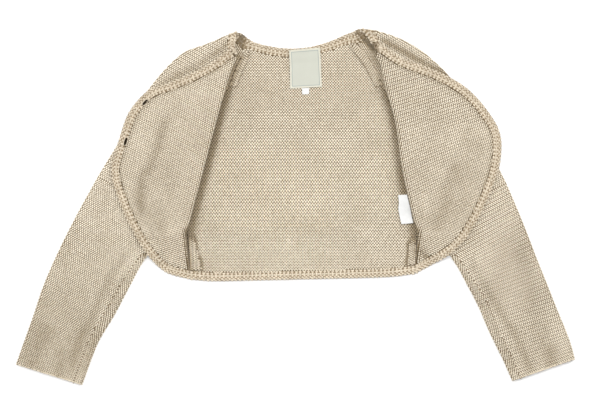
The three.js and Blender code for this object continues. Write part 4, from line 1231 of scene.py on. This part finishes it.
def ground():
    """The cloth under its stitches, in colours painted dark for the shade between them."""
    knit = bpy.context.scene.cardigan_knit
    return finish_named("yarn_in_the_gaps", ground_finish, knit.ground_light, knit.ground_dark)


def cord():
    """The crocheted border, each loop with a shade of its own."""
    trim = bpy.context.scene.cardigan_border
    return finish_named("crochet_yarn", yarn_finish, trim.light, trim.dark, 0.35)


def cord_ground():
    """The crochet down in its eyelets, painted dark for the shade in them."""
    return finish_named("crochet_in_the_eyelets", ground_finish, (0.64, 0.57, 0.47), (0.42, 0.36, 0.27))


def seam_yarn():
    """The darker line of yarn in a seam."""
    return finish_named("yarn_along_the_seams", yarn_finish, (0.74, 0.67, 0.57), (0.52, 0.45, 0.36))


def thread():
    """The neck label's sewing thread."""
    return finish_named("label_thread", yarn_finish, (0.84, 0.83, 0.78), (0.7, 0.69, 0.64))


# ---------------------------------------------------------------- settings


def colour_setting(name, description, default):
    """A setting that holds a colour."""
    return FloatVectorProperty(
        name=name, description=description, subtype="COLOR", size=3, min=0, max=1, default=default)


def length_setting(name, description, default):
    """A setting that holds a length in metres."""
    return FloatProperty(name=name, description=description, default=default, unit="LENGTH")


class KnitSettings(bpy.types.PropertyGroup):
    """The yarn and its stitches"""

    light: colour_setting("Yarn", "Lightest shade of the yarn", (0.995, 0.957, 0.886))
    dark: colour_setting("Dark fibres", "Darkest shade of the yarn", (0.68, 0.612, 0.498))
    # the ground colours are painted dark, for the shade deep between the bumps
    ground_light: colour_setting("Ground", "Yarn between the bumps", (0.565, 0.502, 0.398))
    ground_dark: colour_setting("Deep ground", "Yarn deep between the bumps", (0.33, 0.28, 0.205))
    back_width: length_setting("Stitch on the back", "Width of a stitch", 0.0048)
    body_width: length_setting("Stitch elsewhere", "Width of a stitch", 0.0038)
    ridge_pitch: length_setting("Ridge", "From one ridge to the next", RIDGE * MM)
    pairing: length_setting("Pairing", "How far the two rows of a ridge close up", 0.0005)
    bump_height: length_setting("Bump height", "Height of a bump", 0.002)
    stand: length_setting("Stand", "Middle of a bump over the middle of the cloth", 0.0009)
    ground: length_setting("Ground thickness", "Thickness of the ground cloth", 0.001)
    seed: IntProperty(name="Seed", description="Seed of the unevenness", default=7)


class BorderSettings(bpy.types.PropertyGroup):
    """The crocheted border"""

    light: colour_setting("Cord", "Lightest shade of the border", (0.87, 0.822, 0.742))
    dark: colour_setting("Dark fibres", "Darkest shade of the border", (0.57, 0.51, 0.42))
    pitch: length_setting("Pitch", "From one eyelet to the next", 0.0071)


class SmallSettings(bpy.types.PropertyGroup):
    """Labels and buttons"""

    field: colour_setting("Label", "Field of the neck label", (0.72, 0.725, 0.68))
    edging: colour_setting("Label border", "Border of the neck label", (0.79, 0.78, 0.72))
    line: colour_setting("Frame line", "Thin line round the field", (0.52, 0.56, 0.56))
    horn: colour_setting("Button", "Horn of the buttons", (0.70, 0.62, 0.50))


class StageSettings(bpy.types.PropertyGroup):
    """Floor, light and camera"""

    floor: colour_setting("Floor", "Colour of the floor", (0.985, 0.985, 0.985))
    distance: length_setting("Camera height", "Camera over the floor", 5.0)
    width: length_setting("View", "Width that the camera sees", 1.05)
    overhead: FloatProperty(name="Overhead light", description="Power", default=60, unit="POWER")
    side: FloatProperty(name="Side light", description="Power", default=34, unit="POWER")
    sky: FloatProperty(name="Surrounding light", description="Strength", default=0.42)


# ---------------------------------------------------------------- pieces


def finish_piece(obj, slot, *nodes):
    """Give a piece its body and hide the CAD nodes that it stands in for; the slot is not used."""
    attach(obj, "root")
    if nodes:
        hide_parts(*nodes)
    return obj


def ground_cloth(name, grid, tone, node, thickness=None):
    """The ground cloth that the bumps of a piece stand on."""
    thickness = thickness or bpy.context.scene.cardigan_knit.ground / MM
    return finish_piece(shell(name, grid, thickness, ground(), tone), "knit", node)


class CARDIGAN_OT_back(bpy.types.Operator):
    """Back of the cardigan, with its inside up"""

    bl_idname = "cardigan.back"
    bl_label = "Back"

    def execute(self, context):
        width = context.scene.cardigan_knit.back_width
        grid, plan = back_grid()
        y = plan[..., 1]
        grid[..., 2] += 0.25 * unevenness(plan, 90, 3)
        tone = self.tone(plan)
        hidden = np.maximum(*(covered(front_grid(side)[1], plan) for side in SIGN))
        knots, pitches = (-120, -90, -48, 0, 60, 120, 200, 280), (4.9, 5.1, 5.9, 6.3, 6.4, 5.9, 5.2, 4.9)
        pattern = np.stack([plan[..., 0], stretched(y, knots, pitches)], axis=-1)
        full = np.interp(y, (-120, -40, 60, 140, 200), (1.2, 1.14, 1.08, 0.9, 0.76))
        cloth = ground_cloth("back_cloth", grid, tone, "back_panel")
        faces = [
            knit_face("back_inside", grid, pattern, tone, 1, 1, 0.0, hidden, full, width=width),
            knit_face("back_outside", grid, pattern, np.zeros(y.shape), -1, 2, width=width, fine=False),
        ]
        for side, edge, beside in (("left", 0, 1), ("right", -1, -2)):
            out = unit(grid[:, edge] - grid[:, beside])
            line = grid[:, edge] + out * 1.3 + [0, 0, 0.3]
            faces.append(chain(f"back_seam_{side}", "back seam", line, out, UP, seam_yarn(), "knit", 0.4))
        return {"FINISHED"}

    def tone(self, plan):
        """Darkness of the cloth: darker toward the hem and to the left, painted shadow beside the fronts'
        rolls, painted shade in the neck hollows and side seams and beside the allowances' free edges, and
        slow random tone.
        """
        x, y = plan[..., 0], plan[..., 1]
        ends = 0.14 * ease((30 - y) / 100) + 0.12 * ease((-72 - y) / 30)
        low = np.interp(y, (-50, -20, 40, 90), (0, 1, 1, 0))
        # a wide, soft painted shadow beside the right roll, low on the back
        ends = ends + 0.4 * low * roll_shadow(plan, "right", 26) + 0.04 * ease((-30 - x) / 90)
        rolls = sum(roll_shadow(plan, side, 9) for side in SIGN)
        tone = ends - 0.04 + rolls + hollow_shade(plan) + seam_shade(plan) + 0.03 * unevenness(plan, 70, 5)
        for name, rows in ALLOWANCES.items():
            gap, _ = line_distance([free for _, free in rows], plan)
            # painted shadow along each allowance's free edge
            tone = tone + (0.2 if "raglan" in name else 1.2) * bell(gap, 2.8)
        return tone


class CARDIGAN_OT_sleeves(bpy.types.Operator):
    """Both sleeves, each one piece of cloth folded along the overarm and seamed under the arm"""

    bl_idname = "cardigan.sleeves"
    bl_label = "Sleeves"

    def execute(self, context):
        for number, side in enumerate(SIGN):
            grid, pattern, shoulder = sleeve_grid(side)
            arm = len(shoulder) - 1
            reach = pattern[..., 1].max()
            tone = self.lay(number, side, grid, pattern, arm)
            rows = stretched(pattern[..., 1], (0, 0.35 * reach, 0.75 * reach, reach), (5.6, 6.4, 6.3, 5.1))
            shoulder = shoulder + [0, rows[arm, 0] - shoulder[arm, 0, 1]]
            pattern = np.stack([pattern[..., 0], rows], axis=-1)
            full = np.interp(rows / reach, (0.15, 0.35, 0.55, 0.9), SLEEVE_LOOKS[side][2])
            cloth = ground_cloth(f"sleeve_{side}_cloth", grid, tone, f"sleeve_{side}")
            out = facing(grid)
            shaded = covered(front_grid(side)[1], grid[..., :2])
            parts = {  # rows, columns, flat pattern, what is covered, how far its rows pair up
                "top": (slice(arm, None), slice(OVERARM - 3, None), pattern, shaded, 0.35),
                "shoulder": (slice(arm + 1), slice(OVERARM - 3, None), shoulder, shaded, 0.1),
                "head": (slice(None), slice(UNDERARM), pattern, 0 * shaded, 0.2),
                "under": (slice(None), slice(UNDERARM - 1, OVERARM - 2), pattern, 0 * shaded, 1.0),
            }
            faces = []
            for part, (*span, flat, hidden, pairing) in parts.items():
                at, seed = tuple(span), 20 + 4 * number + len(faces)
                faces.append(knit_face(
                    f"sleeve_{side}_{part}", grid[at], flat[at], tone[at], out, seed, pairing, hidden[at],
                    full[at], fine=part != "under"))
            faces.append(self.hollow(number, side, grid[: 2 * arm // 5, : UNDERARM + UNDER_COLUMNS], out))
            faces += self.edges(side, grid, arm, out)
        return {"FINISHED"}

    def lay(self, number, side, grid, pattern, arm):
        """Let the upper half of a sleeve rise and fall, and give the darkness of its cloth: painted shade in
        its creases and over the shoulder beside the front's border, and the cuff darker.
        """
        darker, base, _ = SLEEVE_LOOKS[side]
        plan, columns = grid[..., :2], np.arange(grid.shape[1])
        top = ((columns > OVERARM) | (columns < HEAD_COLUMNS))[None, :]
        fall, tone = creased(plan, f"sleeve_{side}")
        seam = bell(pattern[..., 0] - pattern[:, -1:, 0], 5) * (np.arange(len(grid)) >= arm)[:, None]
        grid[..., 2] += np.where(top, 0.5 * unevenness(plan, 60, 11 + number) - fall + 0.7 * seam, 0)
        down = pattern[..., 1] / pattern[..., 1].max()
        # painted shade of the creases on the upper half, with slow random tone; the rest a little darker
        tone = np.where(top, tone * 1.1 + 0.04 * unevenness(plan, 80, 17) + base, 0.1)
        # the cuff end darker, and painted shade over the shoulder beside the front's border
        return tone + darker * ease((down - 0.55) / 0.4) + top * 0.06 * ease((0.3 - down) / 0.1)

    def hollow(self, number, side, grid, out):
        """The stitches inside the sleeve's head, which show in the hollow beside the neck, in painted shade.
        """
        plan = grid[..., :2]
        tone = 0.2 + 0.35 * roll_shadow(plan, side, 9) + hollow_shade(plan)
        return knit_face(f"sleeve_{side}_hollow", grid, plan, tone, -out, 30 + number, 0.2)

    def edges(self, side, grid, arm, out):
        """The underarm seam, and the cast-off edge round the cuff."""
        normal = grid_normals(grid) * out
        seam = (grid[arm:, -1] + grid[arm:, 0]) / 2 + normal[arm:, -1] * 0.7
        inward = unit(grid[arm:, -2] - grid[arm:, -1])
        cuff, away = grid[-1], unit(grid[-1] - grid[-2])
        dark = 0.25 + 0.7 * np.clip(unevenness(cuff[:, :2], 18, 9), 0, 1)
        name = f"sleeve_{side}"
        return [
            chain(f"{name}_seam", "sleeve seam", seam, inward, normal[arm:, -1], seam_yarn(), "knit", 0.35),
            chain(f"{name}_cuff", "cuff", cuff - away, away, normal[-1], yarn(), "knit", dark),
        ]


class CARDIGAN_OT_fronts(bpy.types.Operator):
    """Both fronts, turned outward with their insides up"""

    bl_idname = "cardigan.fronts"
    bl_label = "Fronts"

    def execute(self, context):
        for number, side in enumerate(SIGN):
            _, pairing, fullness = FRONT_LOOKS[side]
            grid, plan = front_grid(side)
            tone = self.lay(number, side, grid, plan)
            pattern = self.pattern(side, plan)
            cloth = ground_cloth(f"front_{side}_cloth", grid, tone, f"front_{side}")
            out = facing(grid)
            full = np.interp(plan[..., 1], (-60, 40, 120, 200), fullness)
            cloth_points = (grid, pattern, tone)
            faces = [
                knit_face(f"front_{side}_inside", *cloth_points, out, 40 + number, pairing, fullness=full),
                knit_face(f"front_{side}_outside", *cloth_points, -out, 44 + number, fine=False),
            ]
        return {"FINISHED"}

    def lay(self, number, side, grid, plan):
        """Let a front and the crest of its roll rise and fall, and give the darkness of its cloth: painted
        shade in its creases, on the underside of its roll, in the side seams and along its edge at the
        border.
        """
        columns = np.arange(grid.shape[1])[None, :]
        laid = ease((columns - TURN_STEPS * 0.8) / 10)
        fall, tone = creased(plan, f"front_{side}")
        wave = unevenness(plan, 55, 31 + number)
        crest_wave = unevenness(plan * [0, 1], 40, 37 + number)
        grid[..., 2] += laid * (0.7 + 0.5 * wave - fall)
        grid[..., 2] += bell(columns - TURN_STEPS + 2, 5) * 0.35 * crest_wave
        # painted shade on the turned-under side of the roll
        rolled = 1 - ease((columns - TURN_STEPS * 0.45) / 8)
        tone = tone * laid + 0.04 * wave + FRONT_LOOKS[side][0] + 0.5 * rolled + seam_shade(plan)
        # painted shade in the crevice along the edge at the border
        return tone + 0.4 * bell(np.linalg.norm(plan - plan[:, -1:], axis=-1), 4.5)

    def pattern(self, side, plan):
        """Pattern places of a front, whose rows climb to the outside, less steeply toward the neck."""
        out_x, y = SIGN[side] * plan[..., 0], plan[..., 1]
        angle = np.radians(np.interp(y, (-50, 30, 145, 220), ROW_ANGLES[side]))
        rows = (y - (out_x - 150) * np.tan(angle)) * RIDGE / 6.25
        mean = math.radians(27)
        return np.stack([out_x * math.cos(mean) + y * math.sin(mean), rows], axis=-1)


class CARDIGAN_OT_borders(bpy.types.Operator):
    """Crocheted border round the fronts, the neck and the hem"""

    bl_idname = "cardigan.borders"
    bl_label = "Crocheted border"

    def execute(self, context):
        for side in SIGN:
            slits = BUTTONHOLES if side == "left" else ()
            self.border(f"front_{side}", front_border(side), f"trim_front_{side}", slits)
        self.border("neck", neck_border(), "trim_neck")
        self.border("hem", hem_border(), "trim_hem")
        return {"FINISHED"}

    def border(self, name, stations, node, slits=()):
        """The ground strip of a border, its rows of crochet and its buttonholes."""
        inner, outer, up, thick = stations
        up = np.broadcast_to(up, inner.shape)
        thick = np.broadcast_to(thick, len(inner)).astype(float)
        run = lengths(outer)
        opened = np.zeros(len(inner))
        for slit in slits:
            opened = np.maximum(opened, ease((SLIT_LENGTH + 1.5 - np.abs(run - slit)) / 2.5))
        raised = up * (np.minimum(thick, TRIM_BODY) * 0.5)[:, None]
        start = STRIP_START + (STRIP_OPEN - STRIP_START) * opened
        shares = start[:, None] + (STRIP_END - start)[:, None] * np.linspace(0, 1, 5)[None, :]
        grid = inner[:, None] + shares[..., None] * (outer - inner)[:, None] + raised[:, None]
        middle = (inner + outer) / 2 + raised
        # painted shade in the neck hollows and along the border's inner edge, where it meets the cloth
        hollow = hollow_shade(middle[:, :2])
        shade = hollow[:, None] + np.array([0.1 if name == "hem" else 0.35, 0.1, 0, 0, 0])
        finish_piece(shell(f"border_{name}_ground", grid, 0.9, cord_ground(), shade), "crochet", node)
        pitch = bpy.context.scene.cardigan_border.pitch
        # the crochet carries the painted shade of the neck hollows; the hem's is a little lighter
        guide = path_guide(name, *stations_along(
            pitch / MM, [inner, middle, outer], middle, outer - inner, up, opened,
            hollow - (0.14 if name == "hem" else 0.0)))
        tree = tree_named("crocheted border", lambda: chain_tree("crocheted border", BORDER_ROWS))
        values = {"Material": cord(), "Seed": 5, "Unevenness": 0.2}
        for row, settings in BORDER_ROWS.items():
            values |= row_values(row, settings, pitch, float(thick.mean()) / TRIM_CORD)
        finish_piece(grown(f"border_{name}_crochet", guide, tree, values), "crochet")
        for number, slit in enumerate(slits):
            self.buttonhole(f"buttonhole_{number + 1}", inner, outer, run, slit)

    def buttonhole(self, name, inner, outer, run, slit):
        """The inside of a buttonhole, a dark sheet of painted shadow, and the thread that binds its two lips.
        """
        along = np.linspace(-1, 1, 14)
        near, far = (at_marks(slit + SLIT_LENGTH * along, run, line) for line in (inner, outer))
        across = unit(far - near)
        wide = SLIT_WIDTH * np.sqrt(np.clip(1 - along**4, 0.05, 1))
        middle = near + across * 2.0 + [0, 0, 2.3]
        shares = np.linspace(-1, 1, 5)[None, :, None]
        grid = middle[:, None] + across[:, None] * (shares * wide[:, None, None])
        # painted shadow: a near-black sheet down in the slit
        dark = finish_named("inside_of_a_buttonhole", ground_finish, (0.20, 0.16, 0.11), (0.11, 0.09, 0.06))
        finish_piece(shell(f"{name}_inside", grid, 0.7, dark), "crochet")
        for which, lip in (("inner", -1), ("outer", 1)):
            line = middle + across * (lip * (wide + 0.7))[:, None] + [0, 0, 0.5]
            chain(f"{name}_lip_{which}", "buttonhole", line, across, UP, cord(), "crochet")


class CARDIGAN_OT_allowances(bpy.types.Operator):
    """Seam allowances on the inside of the back"""

    bl_idname = "cardigan.allowances"
    bl_label = "Seam allowances"

    def execute(self, context):
        for number, (name, rows) in enumerate(ALLOWANCES.items()):
            line = curve(rows, np.linspace(0, 1, 26))
            shares = np.linspace(0, 1, 9)
            middle = len(shares) // 2
            plan = line[:, :1] + shares[None, :, None] * (line[:, 1:] - line[:, :1])
            grid = lifted(plan, CLOTH + SEAM_GAP + 0.75 + 0.5 * np.sin(shares * math.pi)[None, :])
            run = np.array([lengths(row) for row in plan])
            down = np.broadcast_to(lengths(plan[:, middle])[:, None], run.shape)
            # painted shade in the neck hollows and side seams; the side allowances in painted shadow where
            # they come out from under the roll, the raglan ones beside it
            tone = 0.26 + hollow_shade(plan) + seam_shade(plan)
            if "side" in name:
                tone = tone + 1.1 * bell(down, 9)
            else:
                tone = tone + 0.6 * roll_shadow(plan, name.rsplit("_")[-1], 8)
            ground_cloth(f"{name}_cloth", grid, tone, name, 0.9)
            pattern = np.stack([down, run], axis=-1)
            knit_face(f"{name}_stitches", grid, pattern, tone, facing(grid), 60 + number, 0.3, fullness=1.25)
            for which, at in (("free", -1), ("seam", 0)):
                across, edge = unit(grid[:, at] - grid[:, middle]), grid[:, at] + [0, 0, 0.1]
                chain(f"{name}_{which}_edge", "allowance", edge, across, UP, seam_yarn(), "knit", 0.3)
        return {"FINISHED"}


class CARDIGAN_OT_labels(bpy.types.Operator):
    """Neck label, size tab and care label, all left bare"""

    bl_idname = "cardigan.labels"
    bl_label = "Labels"

    def execute(self, context):
        small = context.scene.cardigan_small
        ribbon = finish_named("woven_ribbon", ribbon_finish, small.field, small.edging, small.line)
        satin = finish_named("satin_tape", satin_finish, (0.83, 0.83, 0.825), (0.75, 0.75, 0.74))
        for name, rows in LABELS.items():
            grid, pattern = self.form(name, rows)
            slot, material = ("ribbon", ribbon) if name == "neck_label" else ("satin", satin)
            obj = shell(f"{name}_tape", grid, LABEL_THICKNESS * 0.6, material)
            self.mark(obj, pattern)
            finish_piece(obj, slot, name)
        self.stitching("neck_label")
        return {"FINISHED"}

    def form(self, name, rows):
        """Middle surface of a label that lies on the back, and the place of its points on the flat tape."""
        step = 1.4 if name == "neck_label" else 1.0
        ends = np.array([(left, right) for left, right, _ in rows], float)
        down = lengths(ends.mean(axis=1))
        marks = np.linspace(0, down[-1], round(down[-1] / step) + 1)
        wide = np.linalg.norm(ends[0, 1] - ends[0, 0])
        shares = np.linspace(0, 1, round(wide / step) + 1)[None, :]
        ends = at_marks(marks, down, ends)
        plan = ends[:, :1] + shares[..., None] * (ends[:, 1:] - ends[:, :1])
        far = (marks / marks[-1])[:, None]
        rise = at_marks(marks, down, [rise for _, _, rise in rows])[:, None]
        rise = rise + 0.25 * unevenness(plan, 30, len(rows)) + 0.25
        if name == "care_label":
            rise = rise + 1.6 * np.sin(far * math.pi * 2.2) * (0.3 + shares) + 1.0 + 1.5 * shares**2
        if name == "size_tab":
            rise = rise + 0.5 * far
        grid = lifted(plan, CLOTH + SEAM_GAP + LABEL_THICKNESS / 2 + np.maximum(rise, 0.1))
        return grid, np.stack(np.broadcast_arrays(shares * wide, marks[:, None]), axis=-1)

    def mark(self, obj, pattern):
        """Weave coordinates in metres, and the distance of each point from the tape's edge."""
        both = np.concatenate([pattern.reshape(-1, 2)] * 2) * MM
        far = pattern.max(axis=(0, 1)) * MM - both
        add_attribute(obj, "Edge", np.minimum(both, far).min(axis=1))
        add_uvs(obj, "Weave", both)

    def stitching(self, name):
        """Thread that holds a label down along its sides, its top and its bottom."""
        grid, _ = self.form(name, LABELS[name])
        lines = {"left": grid[:, 1], "right": grid[:, -2], "top": grid[1], "bottom": grid[-2]}
        for which, line in lines.items():
            line = line + [0, 0, 0.35]
            chain(f"{name}_thread_{which}", "label thread", line, AWAY, UP, thread(), "ribbon")


class CARDIGAN_OT_buttons(bpy.types.Operator):
    """Two sewn-through buttons under the right front's border"""

    bl_idname = "cardigan.buttons"
    bl_label = "Buttons"

    def execute(self, context):
        horn = finish_named("horn", horn_finish, (0.76, 0.69, 0.57), context.scene.cardigan_small.horn)
        for name, (place, tilt) in BUTTONS.items():
            finish_piece(self.button(name, place, tilt, horn), "button", name)
            self.thread(name, place, tilt)
        return {"FINISHED"}

    def turned(self, points, place, tilt):
        """Points of a button that lies tilted to one side at its place."""
        cos, sin = math.cos(tilt), math.sin(tilt)
        x, y, z = np.moveaxis(np.asarray(points, float), -1, 0)
        return np.stack([x * cos + z * sin, y, z * cos - x * sin], axis=-1) + np.array(place, float)

    def button(self, name, place, tilt, horn):
        """A turned horn button with its four holes cut through."""
        disc = self.worked(f"{name}_disc", self.turn_disc)
        cutters = []
        for corner in hole_places():
            cutters.append(self.worked(f"{name}_cutter", self.drill, corner))
            cut = disc.modifiers.new("hole", "BOOLEAN")
            cut.object, cut.operation, cut.solver = cutters[-1], "DIFFERENCE", "EXACT"
        graph = bpy.context.evaluated_depsgraph_get()
        mesh = bpy.data.meshes.new_from_object(disc.evaluated_get(graph), depsgraph=graph)
        for old in [disc, *cutters]:
            bpy.data.objects.remove(old)
        points = np.zeros(len(mesh.vertices) * 3)
        mesh.vertices.foreach_get("co", points)
        mesh.vertices.foreach_set("co", (self.turned(points.reshape(-1, 3), place, tilt) * MM).ravel())
        mesh.materials.clear()
        mesh.materials.append(horn)
        obj = linked(f"{name}_horn", mesh)
        smooth(obj)
        return obj

    def worked(self, name, make, *values):
        """An object whose mesh a function makes with bmesh."""
        work = bmesh.new()
        make(work, *values)
        mesh = bpy.data.meshes.new(name)
        work.to_mesh(mesh)
        work.free()
        return linked(name, mesh)

    def turn_disc(self, work):
        """The button's profile, turned round its axis."""
        radius, thick = BUTTON["radius"], BUTTON["thickness"]
        line = [work.verts.new((r * radius, 0, h * thick)) for r, h in BUTTON["profile"]]
        edges = [work.edges.new(pair) for pair in zip(line, line[1:])]
        bmesh.ops.spin(work, geom=line + edges, cent=(0, 0, 0), axis=(0, 0, 1), angle=math.tau, steps=48,
                       use_merge=True, use_duplicate=False)
        bmesh.ops.remove_doubles(work, verts=work.verts, dist=0.001)
        bmesh.ops.recalc_face_normals(work, faces=work.faces)

    def drill(self, work, corner):
        """A round bar through the button at one of its holes."""
        radius = BUTTON["hole"]
        bmesh.ops.create_cone(work, cap_ends=True, segments=16, radius1=radius, radius2=radius, depth=8)
        bmesh.ops.translate(work, verts=work.verts, vec=(*corner, BUTTON["thickness"] / 2))

    def thread(self, name, place, tilt):
        """Sewing thread, crossed over the four holes."""
        corners = hole_places()
        shares = np.linspace(0, 1, 7)[:, None]
        for number in (0, 1):
            start, end = corners[number], corners[number + 2]
            line = self.turned(lifted(start + shares * (end - start), 2.35 + 0.25 * number), place, tilt)
            chain(f"{name}_thread_{number + 1}", "button thread", line, AWAY, UP, yarn(), "knit")


def hole_places():
    """Middles of a button's four holes, round its axis."""
    angle = math.pi / 4 + np.arange(4) * math.pi / 2
    return BUTTON["hole_ring"] * np.stack([np.cos(angle), np.sin(angle)], axis=-1)


class CARDIGAN_OT_stage(bpy.types.Operator):
    """Pale floor, soft studio light and a camera straight above"""

    bl_idname = "cardigan.stage"
    bl_label = "Stage"

    def execute(self, context):
        scene, stage = context.scene, context.scene.cardigan_stage
        signs = ((-1, -1), (1, -1), (1, 1), (-1, 1))
        corners = [(x * FLOOR_REACH, y * FLOOR_REACH, -FLOOR_GAP) for x, y in signs]
        new_object("floor", corners, [(0, 1, 2, 3)], [floor_finish("studio_floor", stage.floor)])
        camera = bpy.data.cameras.new("camera")
        camera.sensor_width = 36
        camera.lens = camera.sensor_width * stage.distance / stage.width
        camera.clip_end = 30
        scene.camera = linked("camera", camera)
        scene.camera.location = (*VIEW_MIDDLE, stage.distance)
        self.lamp("overhead", (0.0, 0.3, 2.6), 2.4, stage.overhead)
        self.lamp("side", (1.9, 1.5, 1.7), 1.2, stage.side)
        self.lamp("fill", (-2.0, 0.6, 1.5), 1.6, stage.side * 0.6)
        scene.world = bpy.data.worlds.new("studio")
        scene.world.use_nodes = True
        back = scene.world.node_tree.nodes["Background"].inputs
        back["Color"].default_value = (1, 1, 1, 1)
        back["Strength"].default_value = stage.sky
        scene.view_settings.view_transform = "Standard"
        return {"FINISHED"}

    def lamp(self, name, place, size, power):
        """A round soft light that faces the middle of the floor."""
        light = bpy.data.lights.new(name, "AREA")
        light.shape, light.size, light.energy = "DISK", size, power
        lamp = linked(name, light)
        lamp.location = place
        lamp.rotation_euler = (-mathutils.Vector(place)).to_track_quat("-Z", "Y").to_euler()


class CARDIGAN_PT_panel(bpy.types.Panel):
    """Sizes, colours and pieces of the cardigan"""

    bl_idname = "CARDIGAN_PT_panel"
    bl_label = "Cropped cardigan"
    bl_space_type = "VIEW_3D"
    bl_region_type = "UI"
    bl_category = "Cardigan"

    def draw(self, context):
        for group, kind in GROUPS.items():
            box = self.layout.box()
            box.label(text=kind.__doc__)
            for name in kind.__annotations__:
                box.prop(getattr(context.scene, group), name)
        for piece in PIECES:
            self.layout.operator(piece.bl_idname)


GROUPS = {
    "cardigan_knit": KnitSettings,
    "cardigan_border": BorderSettings,
    "cardigan_small": SmallSettings,
    "cardigan_stage": StageSettings,
}
PIECES = (
    CARDIGAN_OT_stage, CARDIGAN_OT_back, CARDIGAN_OT_sleeves, CARDIGAN_OT_fronts, CARDIGAN_OT_borders,
    CARDIGAN_OT_allowances, CARDIGAN_OT_labels, CARDIGAN_OT_buttons,
)


def register():
    """Add the settings, the operators and the panel."""
    for item in (*GROUPS.values(), *PIECES, CARDIGAN_PT_panel):
        bpy.utils.register_class(item)
    for name, group in GROUPS.items():
        setattr(bpy.types.Scene, name, PointerProperty(type=group))


def unregister():
    """Take the settings, the operators and the panel away again."""
    for name in GROUPS:
        delattr(bpy.types.Scene, name)
    for item in (CARDIGAN_PT_panel, *reversed(PIECES), *reversed(list(GROUPS.values()))):
        bpy.utils.unregister_class(item)


def main():
    """Lay out the stage and every piece."""
    register()
    bpy.ops.cardigan.stage()
    bpy.ops.cardigan.back()
    bpy.ops.cardigan.sleeves()
    bpy.ops.cardigan.fronts()
    bpy.ops.cardigan.borders()
    bpy.ops.cardigan.allowances()
    bpy.ops.cardigan.labels()
    bpy.ops.cardigan.buttons()


if __name__ == "__main__":
    main()
